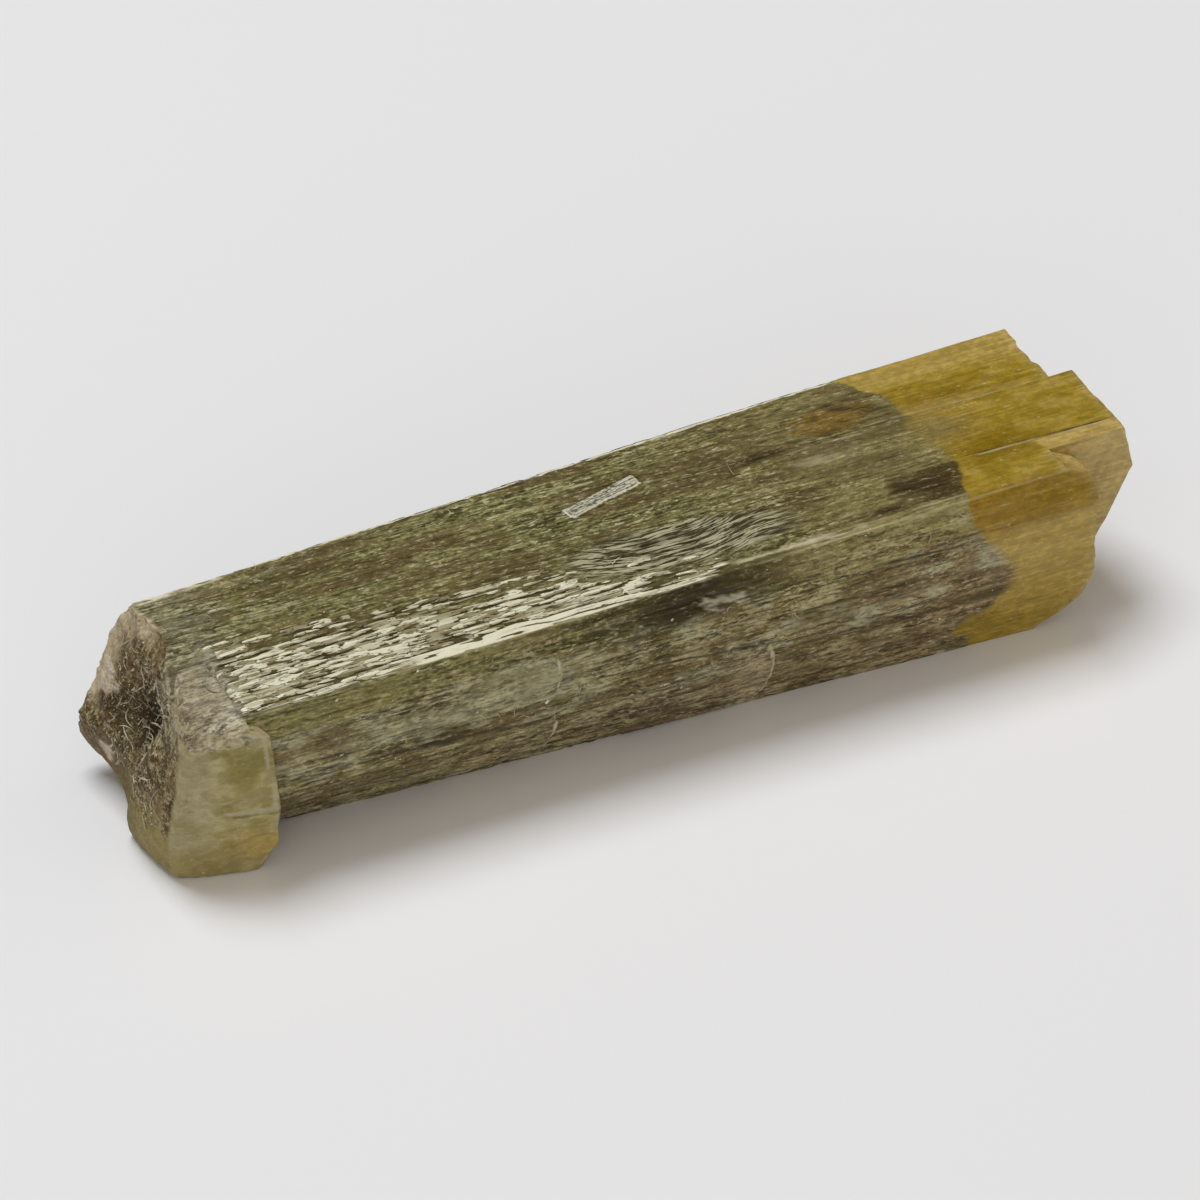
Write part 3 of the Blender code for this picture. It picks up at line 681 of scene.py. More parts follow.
# %% The broken end
BREAK_TOP_X, BREAK_LEAN, BREAK_TOP_Z = -12.80, 1.15, 5.5
BREAK_LUMPS = (
    # middle y, z; size; depth, negative outwards
    (-1.6, 5.0, 0.9, -0.22), (1.9, 3.4, 0.8, 0.10), (0.9, 0.5, 1.2, 0.48), (-2.0, 0.6, 1.1, 0.26),
    (2.4, 1.7, 0.7, -0.26), (-2.0, 3.3, 0.6, -0.12),
)
PIT_Y, PIT_Z, PIT_SIZE, PIT_DEPTH = -0.35, 3.1, 1.0, 0.95


def broken_end(y, z):
    """X of the break: a leaning curve, soft lumps, a pit, and ragged grain that fades towards the smooth foot."""
    x = BREAK_TOP_X - BREAK_LEAN * (1 - (np.clip(z, 0, BREAK_TOP_Z) / BREAK_TOP_Z) ** 2)
    for lump_y, lump_z, size, depth in BREAK_LUMPS:
        x = x + depth * spot(y, z, lump_y, lump_z, size, size)
    ragged = 0.25 + 0.75 * rise(z, 1.0, 2.2)
    hackle = (0.10 * (flakes(y / 0.45, z / 0.38, seed=61) - 0.5)
              + 0.05 * grain(y / 0.16, z / 0.14, seed=63) + 0.12 * grain(y / 0.6, z / 0.5, seed=64))
    return x + PIT_DEPTH * spot(y, z, PIT_Y, PIT_Z, PIT_SIZE, PIT_SIZE) + ragged * hackle


break_y, break_z = np.arange(-5.2, 4.6, 0.075), np.arange(-0.8, 6.6, 0.075)
print("faces after the break:", cut_end("break_cutter", broken_end, break_y, break_z, -17.0))

# %% [markdown]
# A smooth lip of clear yellow-green crystal stands out at the front of the break, like a flake that started to part.
# Its sides lean by different amounts on the way up, so it is a stack of rounded four-cornered outlines, one for each
# height, rather than a box with its corners moved.

# %% The lip
LIP_LEVELS = np.array([-0.30, 0.20, 0.90, 2.00, 3.10, 4.20, 4.66, 4.72, 4.88, 5.05, 5.25, 5.42])
LIP_CORNERS = np.array([
    # front left, front right, back right, back left
    [(-13.40, -2.95), (-11.75, -3.45), (-11.40, -1.60), (-13.90, -0.60)],
    [(-13.80, -3.02), (-11.45, -3.62), (-11.40, -1.70), (-14.10, -0.70)],
    [(-13.90, -3.12), (-11.15, -3.82), (-11.40, -1.80), (-14.20, -0.80)],
    [(-13.80, -3.30), (-11.10, -3.94), (-11.45, -2.00), (-14.10, -1.10)],
    [(-13.68, -3.42), (-11.24, -4.07), (-11.50, -2.30), (-13.85, -1.50)],
    [(-13.42, -3.34), (-11.38, -4.17), (-11.60, -2.60), (-13.40, -1.80)],
    [(-13.30, -3.12), (-11.44, -4.12), (-11.80, -2.60), (-13.30, -1.70)],
    [(-13.28, -3.06), (-11.84, -3.86), (-11.90, -2.60), (-13.28, -1.60)],
    [(-13.20, -2.86), (-11.88, -3.54), (-12.00, -2.20), (-13.20, -1.40)],
    [(-13.08, -2.44), (-11.92, -2.92), (-12.00, -1.80), (-13.08, -1.20)],
    [(-12.94, -1.86), (-12.00, -2.20), (-12.05, -1.20), (-12.92, -1.10)],
    [(-12.80, -1.42), (-12.10, -1.56), (-12.10, -1.10), (-12.76, -1.05)],
])
LIP_TURNS, LIP_ROWS, LIP_BULGE, LIP_ROUNDINGS = 96, 86, 0.06, 2


def lip_surface(turn, level):
    """Points of the lip for each height and turn: the outline's four corners at that height, joined by a closed curve
    that is nearly straight between corners and tight at them."""
    corner = np.floor(turn * 4).astype(int) % 4
    share = turn * 4 - np.floor(turn * 4)
    share = share + 0.10 * np.sin(2 * np.pi * share) / (2 * np.pi)
    xy = np.empty(level.shape + (2,))
    for axis in (0, 1):
        corners = np.stack([np.interp(level, LIP_LEVELS, LIP_CORNERS[:, c, axis]) for c in range(4)], -1)
        start = np.take_along_axis(corners, corner[..., None], -1)[..., 0]
        end = np.take_along_axis(corners, ((corner + 1) % 4)[..., None], -1)[..., 0]
        straight = start + (end - start) * share
        xy[..., axis] = straight + LIP_BULGE * np.sin(np.pi * share) * (straight - corners.mean(-1))
    return np.concatenate([xy, level[..., None]], -1)


levels, turns = np.meshgrid(np.linspace(-0.25, 5.42, LIP_ROWS), np.arange(LIP_TURNS) / LIP_TURNS, indexing="ij")
lip_points = lip_surface(turns, levels)
for _ in range(LIP_ROUNDINGS):
    lip_points = 0.5 * lip_points + 0.25 * (np.roll(lip_points, 1, 1) + np.roll(lip_points, -1, 1))
knobs = 0.02 * grain(turns * 60, levels / 0.5, seed=71)
knobs = knobs + 0.07 * rise(levels, 4.5, 4.9) * grain(turns * 22, levels / 0.12, seed=72)
lip_points[..., :2] += knobs[..., None] * (lip_points[..., :2] - lip_points[..., :2].mean(1, keepdims=True))
lip_points = lip_points[levels[:, 0] >= 0.0]
lip = add_piece("lip_tool", lip_points.reshape(-1, 3), tube_faces(*lip_points.shape[:2]))
print("faces after the lip:", combine(crystal, lip, "UNION"))

# %% [markdown]
# Here and there the relief and the lip reach past the packed model's box, so those points are moved back to its
# sides. The faces are then shaded smooth, except across edges sharper than 38 degrees, so that a cleaved edge stays
# crisp and the fine relief does not show its triangles.

# %% Keep the crystal inside its packed box
SHARP_ANGLE = math.radians(38)
points = np.empty(3 * len(crystal.data.vertices), np.float32)
crystal.data.vertices.foreach_get("co", points)
points = keep_in_box(from_frame(points.reshape(-1, 3)))
crystal.data.vertices.foreach_set("co", to_frame(points).astype(np.float32).ravel())
crystal.data.update()
crystal.data.polygons.foreach_set("use_smooth", np.ones(len(crystal.data.polygons), bool))
crystal.data.set_sharp_from_angle(angle=SHARP_ANGLE)
print("points of the crystal:", len(points), "lowest:", points.min(0).round(2), "highest:", points.max(0).round(2))

# %% [markdown]
# Where the colours lie follows how the rods grew and where the crystal broke, so it is worked out here from each
# point's own place, and the finish only reads the result. Textures in the finish could not tell a rod from a break.
# First come the zones that the colours refer to: the front, the top, the break, and the fuzzy top of the lip, where
# the clear crystal is crushed white.

# %% The zones
px, py, pz = points.T
on_front = rise(-py, 3.25, 3.5)
on_top = rise(pz, 4.7, 4.95) * rise(py, -3.5, -3.44)
facing = np.maximum(on_front, rise(-py, 1.2, 1.6) * rise(pz, 2.4, 2.1))
low_front = rise(-py, 1.2, 1.6) * rise(pz, 1.9, 1.4)
at_break = rise(px, -10.0, -10.8)
broken = rise(px - broken_end(py, pz), 0.12, 0.04) * rise(px, -10.0, -11.5)
crushed_z = pz + 0.12 * grain(px / 0.3, py / 0.3, seed=105)
crushed_y = py + 0.25 * grain(px / 0.3, py / 0.2, seed=110)
fuzzy = rise(px, -11.8, -12.0) * rise(crushed_z, 4.25, 4.42) * rise(crushed_y, -1.3, -1.7)
print("share of points on the front:", round(float(on_front.mean()), 2),
      "on the break:", round(float(broken.mean()), 3))

# %% Soft patterns
def half_grain(x, y, z=0.0, seed=0):
    """Soft grain from 0 to 1."""
    return 0.5 + 0.5 * grain(x, y, z, seed)


patchy = half_grain(px / 1.6, py / 0.5, pz / 0.5, seed=84)
mottle = half_grain(px / 0.5, py / 0.22, pz / 0.22, seed=85)
lumps = half_grain(px / 0.55, py / 0.28, pz / 0.26, seed=96)
veins = half_grain(px / 2.4, py / 0.12, pz / 0.11, seed=98)
patch_tone = flakes(px / 0.55, pz / 0.40, seed=106)
print("mottle runs from", mottle.min().round(2), "to", mottle.max().round(2))

# %% [markdown]
# The olive body turns into clear honey-yellow crystal at a crisp, wavy border, which is a line of X by Y on the top
# and by Z on the front. The lip is clear too. A border stored as a colour would be as blurred as the mesh is coarse,
# so it is kept as a distance, in widths of the border, and the finish draws it sharp.

# %% Clear and cloudy
TOP_BORDER = ((-3.5, 9.2), (-3.3, 9.25), (-2.0, 9.62), (-1.5, 9.60), (-0.74, 9.40), (0.20, 9.41), (0.40, 9.43),
              (0.46, 9.50), (0.8, 9.49), (1.66, 9.27), (2.3, 8.7), (3.0, 8.1))
FRONT_BORDER = ((0, 9.65), (0.41, 9.72), (1.32, 9.93), (1.72, 10.35), (2.05, 10.62), (2.67, 10.57), (3.1, 10.33),
                (3.43, 10.04), (3.95, 9.58), (4.82, 9.25), (5.2, 9.20))
LIP_SIDE = ((0, -2.9), (2, -3.1), (3, -3.25), (4, -3.0), (4.7, -2.6), (5.05, -2.5))
LIP_SHOULDER_Z, MOST_CLEAR = 4.72, 3.0

top_border = outline(py, TOP_BORDER)
border = np.where(on_front > 0.5, outline(pz, FRONT_BORDER), top_border)
ragged = 0.9 * grain(pz / 1.1, py / 1.4, seed=108) + 0.3 * grain(pz / 0.35, py / 0.4, seed=109)
border = border + (1 - on_front) * (1 - on_top) * rise(pz, 4.7, 3.9) * ragged
soft = 0.07 + 0.50 * spot(py, 0.0, -0.5, 0.0, 0.9, 1.0) * on_top
soft = soft + 0.30 * spot(pz, 0.0, 2.6, 0.0, 1.3, 1.0) * on_front
wavy = 0.10 * grain(px / 0.5, py / 0.3, pz / 0.3, seed=81) + 0.08 * grain(px / 0.2, py / 0.07, pz / 0.07, seed=80)
honey = (px - border + wavy) / soft

top_reach = -12.0 + 0.35 * grain(py / 0.38, 0.0, seed=82) + 0.12 * grain(px / 0.2, py / 0.09, seed=82)
side_reach = np.where(pz < LIP_SHOULDER_Z, np.interp(pz, (1, 4.7), (-11.0, -11.36)), -11.86)
lip_reach = np.where(on_top > 0.5, top_reach, side_reach)
on_lip = np.minimum((lip_reach - px) / 0.03, (outline(pz, LIP_SIDE) - py) / 0.10)
clear = np.maximum(honey, np.minimum(on_lip, MOST_CLEAR - 6.0 * fuzzy))
print("share of clear points:", round(float((clear > 0).mean()), 2))

# %% [markdown]
# Soft changes of colour are mixed like layers of glaze: each layer is a share at each point and a colour, laid over
# what is below. Layers that lie in the same zone are written as one group. The layers below make two tints at each
# point, one for the cloudy body and one for the clear parts.

# %% Layers of colour
def tinted(colour, *layers):
    """Colours with soft layers of other colours over them: each layer is a share at each point and a colour."""
    colours = np.broadcast_to(colour, px.shape + (3,)).astype(float)
    for share, colour in layers:
        share = np.clip(share, 0, 1)[:, None]
        colours = colours * (1 - share) + np.array(colour) * share
    return colours


def within(zone, *layers):
    """Layers that lie in one zone only: each layer's share is multiplied by the zone's."""
    return [(zone * share, colour) for share, colour in layers]


def along_line(a, b, line, width, strength=1.0):
    """1 on a line drawn through (a, b) points, 0 at width from it and beyond its ends, times strength."""
    starts, ends = np.array(line[:-1], float), np.array(line[1:], float)
    near = np.full(a.shape, FAR)
    for (a0, b0), (a1, b1) in zip(starts, ends):
        share = np.clip(((a - a0) * (a1 - a0) + (b - b0) * (b1 - b0)) / ((a1 - a0) ** 2 + (b1 - b0) ** 2), 0, 1)
        near = np.minimum(near, np.hypot(a - a0 - share * (a1 - a0), b - b0 - share * (b1 - b0)))
    return strength * rise(near, width, 0.3 * width)


print("half of one colour over another:", tinted((0.2, 0.2, 0.2), (np.full_like(px, 0.5), (0.4, 0.0, 0.0)))[0])

# %% [markdown]
# The mossy band runs below the ridge on the front face, where the crystal is darkest and greenest. The rest of the
# front is a mix of brown veins, pale speckles and patches of dark dirt, paler again towards the ends of the plates.

# %% What lies on the front face
MOSS_X, MOSS_DEPTH = (-12.0, -4.0, 3.0, 9.0), (0.60, 0.80, 1.05, 0.95)
ridge_z = edge("ridge", px)[1]
moss_depth = np.interp(px, MOSS_X, MOSS_DEPTH) + 0.22 * grain(px / 1.3, 0.0, seed=83)
moss = on_front * rise(pz, ridge_z - moss_depth - 0.12, ridge_z - moss_depth + 0.12)
dark_moss = moss * spot(px, 0.0, 0.9, 0.0, 2.4, 1.0)
bare_front = on_front * (1 - moss)
speckle = 0.8 * bare_front * rise(grain(px / 0.75, py / 0.45, pz / 0.38, seed=87), 0.05, 0.5) * rise(pz, 1.5, 2.2)
dirt = 0.5 * (on_front + low_front) * rise(grain(px / 0.9, py / 0.2, pz / 0.16, seed=88), 0.15, 0.5)
lump_grain = 0.5 * grain(px / 0.22, pz / 0.10, seed=90)
white_lump = on_front * rise(spot(px, pz, 1.8, 4.40, 0.62, 0.20) + lump_grain, 0.45, 0.55)
PLATE_FADES = (2.2, 3.5, 1.8)
plate_ends = [rise(plate(px, pz, start, end, low, high), 0.0, 0.06) * rise(px, end - fade, end - 0.4)
              for (start, end, low, high, proud), fade in zip(FRONT_PLATES, PLATE_FADES)]
print("share of the front in the mossy band:", round(float(moss.sum() / on_front.sum()), 2))

# %% [markdown]
# The top is evener. It has dark lenses, where the crystal is deep and clear, a dark block in front of the
# honey-yellow border, a golden patch, a grey blotch and a lilac one, and a cream flake along the back edge.

# %% What lies on the top
DARK_LENSES = (
    # middle x, y; size x, y; strength
    (7.07, -3.04, 0.55, 0.14, 1.0), (5.1, -1.65, 0.9, 0.45, 0.45), (5.1, 0.42, 1.7, 0.20, 0.7),
    (2.5, -1.6, 1.6, 0.30, 0.7), (-9.5, 0.9, 1.8, 0.25, 0.5), (-1.2, -1.4, 1.6, 0.35, 0.5),
)
BLOCK_Y, BLOCK_HALF = -2.50, 0.66
CREAM_FLAKE = ((-12.6, -0.05), (-10.2, 0.02))
dark = np.zeros_like(px)
for lens_x, lens_y, size_x, size_y, strength in DARK_LENSES:
    dark = np.maximum(dark, strength * spot(px, py, lens_x, lens_y, size_x, size_y) * on_top)
block = rise(px - top_border + 0.5 * grain(px / 0.4, py / 0.1, seed=89), -2.3, -1.0)
block = block * rise(np.abs(py - BLOCK_Y), BLOCK_HALF, BLOCK_HALF - 0.06)
dark = np.maximum(dark, block * on_top * (0.70 + 0.30 * mottle))
blotch = on_top * rise(spot(px, py, -10.65, -1.95, 0.42, 0.20), 0.30, 0.5)
lilac = on_top * rise(spot(px, py, -2.1, -2.95, 0.75, 0.16), 0.30, 0.5)
gold_patch = on_top * rise(spot(px, py, 7.5, 1.2, 1.3, 0.55) + 0.25 * grain(px / 0.4, py / 0.15, seed=92), 0.35, 0.6)
rim_aside = py - edge("back_rim", px)[0]
cream_flake = on_top * along_line(px, rim_aside, CREAM_FLAKE, 0.17)
cream_flake = cream_flake * rise(grain(px / 0.4, py / 0.06, seed=111), -0.5, -0.1)
print("share of the top that is dark:", round(float((dark > 0.5).sum() / (on_top > 0.5).sum()), 3))

# %% [markdown]
# The break is brown and rough. The pit and two hollows beside it are painted dark brown to near black, their brown
# deepened by painted shade. There is a tan ledge along its back edge where it weathered, and clumps of pale powder.
# It and the body share one tint; the greens and warm browns of the body drift along X.

# %% What lies on the break
TAN_LEDGE = ((2.3, 2.9), (2.0, 3.8), (1.8, 4.8), (1.2, 5.4), (0.6, 5.6))
# painted shade: the pit and two hollows beside it, which are painted darkest
pit = spot(py, pz, PIT_Y, PIT_Z, 1.15, 1.0)
pit = pit + 0.6 * spot(py, pz, 1.5, 2.8, 0.5, 0.4) + 0.5 * spot(py, pz, -1.6, 4.3, 0.6, 0.5)
tan = along_line(py, pz, TAN_LEDGE, 0.75) * (0.6 + 0.4 * mottle)
powder = 1.3 * spot(py, pz, 1.75, 3.35, 0.50, 0.55) + spot(py, pz, 1.6, 1.1, 0.35, 0.35)
clumps = rise(powder + 0.3 * grain(py / 0.2, pz / 0.2, seed=100), 0.5, 0.65)
warm = 0.8 * spot(px, py, 7.4, 1.30, 1.4, 0.5) * on_top + 0.7 * low_front * rise(px, -4.0, 2.0)
warm = warm + bare_front * (0.75 * spot(px, pz, 9.2, 2.0, 1.4, 1.9) + 0.3 * patchy)
green = on_top * rise(px, 6.0, 2.0) * patchy + 0.8 * bare_front * rise(px, 4.0, -2.0) * patchy
print("share of the break in the pit:", round(float((pit > 0.5)[broken > 0.5].mean()), 2))

# %% Tint of the cloudy body
OLIVE = (0.200, 0.164, 0.058)
# How much lighter the front face is painted along X: painted light on the front.
FRONT_PAINTED_LIGHT_X, FRONT_PAINTED_LIGHT = (-12, -6, 0, 4, 10), (0.30, 0.25, 0.22, 0.30, 0.35)
body_tint = tinted(
    OLIVE,
    (0.9 * green, (0.178, 0.170, 0.062)),  # greener towards the broken end
    (warm, (0.175, 0.118, 0.044)),  # brown near the tips and low on the front
    *within(
        facing,
        (0.8 * rise(pz, 1.9, 0.9) * rise(px, -6.0, -4.0), (0.275, 0.212, 0.100)),  # light brown foot
        (rise(lumps, 0.52, 0.66) * np.interp(px, (2, 5), (0.8, 0.5)), (0.310, 0.270, 0.140)),  # pale lumps
        (0.65 * rise(lumps, 0.45, 0.30), (0.115, 0.076, 0.026)),  # dark lumps
        (rise(veins, 0.62, 0.72) * rise(pz, 3.4, 2.6), (0.085, 0.052, 0.016)),  # brown veins
        (0.8 * spot(px, pz, 10.1, 2.1, 0.9, 0.8), (0.235, 0.165, 0.075)),  # amber by the border
        (0.45 * rise(px, 5.0, 7.0) * (1 - moss), (0.190, 0.135, 0.068)),  # browner right third
        (0.5 * spot(px, pz, 1.0, 1.5, 2.6, 0.9), (0.205, 0.155, 0.098)),  # greyish low middle
        (0.55 * spot(px, pz, -6.0, 3.3, 3.4, 0.6), (0.235, 0.225, 0.130)),  # pale green plate
    ),
    (0.75 * rise(patchy, 0.5, 0.2), (0.105, 0.076, 0.026)),  # large dark patches
    (speckle, (0.28, 0.26, 0.155)),
    (dirt, (0.070, 0.046, 0.016)),
    *within(
        moss,
        ((0.15 + 0.45 * mottle) * np.interp(px, (-6, -3, 4, 6), (0.5, 1.0, 1.0, 0.4)), (0.080, 0.066, 0.010)),
        (rise(px, 3.2, 4.4), (0.225, 0.190, 0.075)),  # yellower to the right
        (0.8 * rise(px, -3.0, -6.0), (0.205, 0.185, 0.070)),  # lighter to the left
        (0.7 * rise(mottle, 0.6, 0.8), (0.20, 0.175, 0.055)),  # light mottling
    ),
    (gold_patch, (0.190, 0.120, 0.026)),
    (on_top * rise(px, -10.6, -11.9) * (0.35 + 0.45 * mottle), (0.215, 0.195, 0.120)),  # greyer by the break
    (cream_flake, (0.70, 0.63, 0.46)),
    (dark_moss * (0.8 + 0.2 * mottle), (0.026, 0.015, 0.001)),
    (dark, (0.052, 0.028, 0.004)),
    (blotch, (0.30, 0.30, 0.25)),
    (lilac, (0.42, 0.37, 0.29)),
    (white_lump * (0.5 + 0.5 * mottle), (0.50, 0.46, 0.33)),
    *within(
        facing,
        (0.8 * plate_ends[1] * (0.5 + 0.5 * lumps), (0.31, 0.29, 0.165)),
        (0.5 * plate_ends[0], (0.20, 0.165, 0.085)),
        (0.7 * plate_ends[2], (0.29, 0.225, 0.13)),
    ),
    *within(
        broken,
        (1.0, (0.190, 0.138, 0.055)),  # the whole break is brown
        (rise(pz, 2.2, 1.4), (0.225, 0.180, 0.066)),  # lighter smooth foot
        (spot(py, pz, 1.5, 1.2, 1.2, 0.6), (0.155, 0.105, 0.060)),  # dull patch low at the back
        (tan, (0.58, 0.48, 0.32)),
        (0.8 * spot(py, pz, 0.9, 4.3, 0.9, 0.7), (0.13, 0.080, 0.024)),  # shaded hollow above the pit
        # painted shade in the pit
        (rise(pit, 0.1, 0.6), (0.050, 0.029, 0.010)),
        (rise(pit, 0.6, 0.9), (0.020, 0.011, 0.004)),
        (0.9 * clumps, (0.62, 0.53, 0.40)),
        (rise(pz, 3.6, 4.2) * rise(-py, 0.7, 1.1), (0.270, 0.230, 0.135)),  # grey-green towards the lip
    ),
    *within(
        fuzzy,
        (1.0, (0.345, 0.295, 0.185)),  # crushed crystal on the lip's top
        (0.6 * rise(mottle, 0.55, 0.30), (0.215, 0.170, 0.090)),
        (0.6 * rise(lumps, 0.55, 0.70), (0.47, 0.43, 0.32)),
    ),
)
# Painted light: the front face's tint is made lighter than the top's, by 22 to 35 per cent.
body_tint = body_tint * (1 + facing * (1 - dark_moss) * np.interp(px, FRONT_PAINTED_LIGHT_X, FRONT_PAINTED_LIGHT))[:, None]
print("middle body tint:", np.median(body_tint, 0).round(3))

# %% [markdown]
# The clear parts are deep yellow where one looks far into them and paler where the crystal is thin: at the rims of
# the rods, along the back edge, and at the corners of the lip. The pale rims at the rods' ends are painted highlights
# as well. The lip is paler and greener than the tips.

# %% Tint of the clear parts
HONEY = (0.375, 0.250, 0.022)
BACK_EDGE_LINE = ((9.5, 0.8), (13.2, 0.55))
deep = spot(px, py, 10.9, -1.7, 1.2, 0.75) * on_top + 0.7 * on_front * rise(pz, 3.7, 4.2) * rise(px, 12.2, 11.6)
deep = deep + 0.4 * spot(px, py, 11.0, 1.2, 1.2, 0.35) * on_top
beige = rise(px, 11.6, 12.2) * rise(-py, 1.95, 2.02) * (1 - on_front) * rise(px + 0.6 * py, 10.6, 10.9)
end_rim_highlight = rise(rod_ends(py, pz) - px, 0.35, 0.0)
thin_back = on_top * rise(py, 1.7, 2.2) + 0.6 * on_top * along_line(px, py, BACK_EDGE_LINE, 0.3)
green_window = spot(px, pz, -12.0, 3.9, 0.8, 0.8) + 0.35 * grain(px / 0.5, pz / 0.22, seed=94)
rusty_corner = spot(px, pz, -11.6, 1.0, 0.8, 0.6) + 0.25 * grain(px / 0.5, pz / 0.12, seed=102)
clear_tint = tinted(
    HONEY,
    (0.8 * rise(lumps, 0.45, 0.75), (0.460, 0.315, 0.058)),
    (0.6 * rise(lumps, 0.42, 0.25), (0.290, 0.185, 0.011)),
    (on_top * spot(px, py, 9.9, -0.45, 0.9, 0.75), (0.250, 0.190, 0.060)),  # smoky by the border
    (0.95 * on_top * spot(px, py, 10.6, 0.85, 1.5, 0.40), (0.225, 0.135, 0.008)),  # shade along the back rod
    (deep, (0.245, 0.150, 0.001)),
    (0.9 * on_front * rise(pz, 4.1, 3.8), (0.470, 0.325, 0.060)),  # light front face
    (0.9 * on_front * rise(pz, 3.9, 4.2), (0.320, 0.190, 0.002)),  # amber below the ridge
    (0.65 * thin_back, (0.52, 0.37, 0.095)),
    (beige, (0.54, 0.38, 0.11)),  # frosted end of the front rod
    # painted highlight along the rods' ends, over their paler thin edge
    (0.40 * end_rim_highlight * (0.4 + 0.6 * mottle), (0.62, 0.50, 0.22)),
    *within(
        at_break,
        (1.0, (0.395, 0.318, 0.098)),  # the lip's own yellow-green
        (0.6 * rise(lumps, 0.50, 0.58), (0.51, 0.43, 0.20)),
        (0.7 * rise(lumps, 0.42, 0.34), (0.290, 0.235, 0.058)),
        (0.5 * rise(patch_tone, 0.66, 0.67), (0.54, 0.46, 0.23)),  # pale inner blocks
        (0.5 * rise(patch_tone, 0.27, 0.26), (0.27, 0.215, 0.055)),  # dark inner blocks
        (0.85 * rise(green_window, 0.35, 0.75), (0.270, 0.220, 0.042)),
        (0.7 * rise(pz, 4.3, 4.8), (0.46, 0.39, 0.23)),  # pale shoulder
        (0.6 * rise(px, -12.6, -13.1) * (0.5 + 0.5 * lumps), (0.46, 0.40, 0.24)),  # pale left side
        (0.8 * rise(rusty_corner, 0.35, 0.7), (0.52, 0.37, 0.105)),
        (rise(pz, 1.5, 0.6) * rise(px, -11.8, -12.4), (0.37, 0.295, 0.105)),  # shaded foot
        (on_top, (0.37, 0.325, 0.215)),
        (0.7 * on_top * rise(mottle, 0.55, 0.35), (0.22, 0.175, 0.095)),
    ),
)
print("middle clear tint:", np.median(clear_tint, 0).round(3))

# %% [markdown]
# The body's fine pattern is strong in some places and faint in others: the lip, the cream flake and the smooth foot
# of the break are calmer. One number at each point says how strong the pattern is there.

# %% How strong the fine pattern is
STRENGTH_X, STRENGTH = (-14, -4, 0, 5, 9), (0.85, 0.85, 0.95, 0.85, 0.75)
strength = np.interp(px, STRENGTH_X, STRENGTH) * (0.65 + 0.5 * rise(patchy, 0.2, 0.8))
strength = strength * (1 - broken * np.maximum(0.7 * rise(pz, 1.8, 1.2), 0.75 * tan))
strength = strength * (1 - rise(clear, -1.0, 1.0) * np.where(px < 0, 0.85, 0.2))
strength = strength * (1 - 0.8 * np.maximum(np.maximum(blotch, lilac), cream_flake)) * (1 - 0.08 * facing)
strength = strength * (1 - 0.6 * dark_moss) * (1 - 0.3 * on_top * rise(px, 4.0, 6.0))
print("the pattern's strength runs from", strength.min().round(2), "to", strength.max().round(2))

# %% [markdown]
# A few lines are sharper than any pattern: dark cracks inside the lip, with painted highlights along a crack and
# along the lip's edges and painted glints in the clear lip, the seams between the rods at the tips, drawn as painted
# shade beside painted highlights, and a painted highlight along the ridge. They join the streaks in the mark for
# tone, where a positive number is pale.

# %% Fine lines on the lip, the tips and the ridge, with painted highlights and painted shade
# Dark cracks in the lip, and pale lines that are painted highlights along a crack and the lip's edges.
LIP_LINES = (
    # points x, z; half width; tone
    (((-12.6, 2.07), (-12.2, 2.05), (-11.1, 2.0)), 0.09, -0.55),
    (((-12.6, 2.20), (-11.7, 2.18), (-11.1, 2.14)), 0.09, 0.8),
    (((-12.4, 4.72), (-12.2, 4.70), (-11.5, 4.60)), 0.07, 0.5),
    (((-11.58, 4.6), (-11.50, 3.9), (-11.34, 2.7), (-11.17, 1.6)), 0.07, 0.8),
    (((-13.0, 2.6), (-12.2, 2.55), (-11.6, 2.62)), 0.10, 0.35),
    (((-12.4, 1.0), (-11.9, 1.25), (-11.3, 1.3)), 0.06, -0.35),
)
# Painted highlights and painted shade along the seams at the tips: a pale and a dark line beside the front seam, and
# a pale line beside the back seam.
TIP_LINES = (
    # points x, y; half width; tone
    (((10.3, -1.9), (11.6, -1.92), (14.1, -2.02)), 0.05, 0.8),
    (((10.3, -1.84), (11.6, -1.86), (14.1, -1.96)), 0.04, -0.6),
    (((3.2, 0.50), (9.5, 0.62), (13.9, 0.52)), 0.04, 0.6),
)
RIDGE_Y, LIP_FRONT_Y = -3.46, -2.9
lip_lines = sum(along_line(px, pz, *line) for line in LIP_LINES)
# pale specks in the clear lip: painted glints
lip_lines = lip_lines + 0.4 * rise(grain(px / 0.16, pz / 0.10, seed=112), 0.55, 0.75) * rise(clear, 0.0, 1.0)
lip_lines = lip_lines * (py < LIP_FRONT_Y) * rise(px, -10.5, -11.0)
tip_lines = sum(along_line(px, py, *line) for line in TIP_LINES) * on_top
# painted highlight: a pale line along the ridge
ridge_highlight = rise(np.hypot(py - RIDGE_Y, pz - ridge_z), 0.06, 0.02) * rise(px, -12, -11)
drawn = np.zeros(len(points))
crystal.data.attributes["tone"].data.foreach_get("value", drawn)
drawn = np.clip(drawn + lip_lines + tip_lines + 0.5 * ridge_highlight, -1, 1)
crystal.data.attributes["tone"].data.foreach_set("value", drawn.astype(np.float32))
print("lines drawn:", len(LIP_LINES) + len(TIP_LINES) + 1)

# %% [markdown]
# What was worked out above is stored in the mesh in the same way as the first marks: numbers as marks, and the two
# tints as colours.

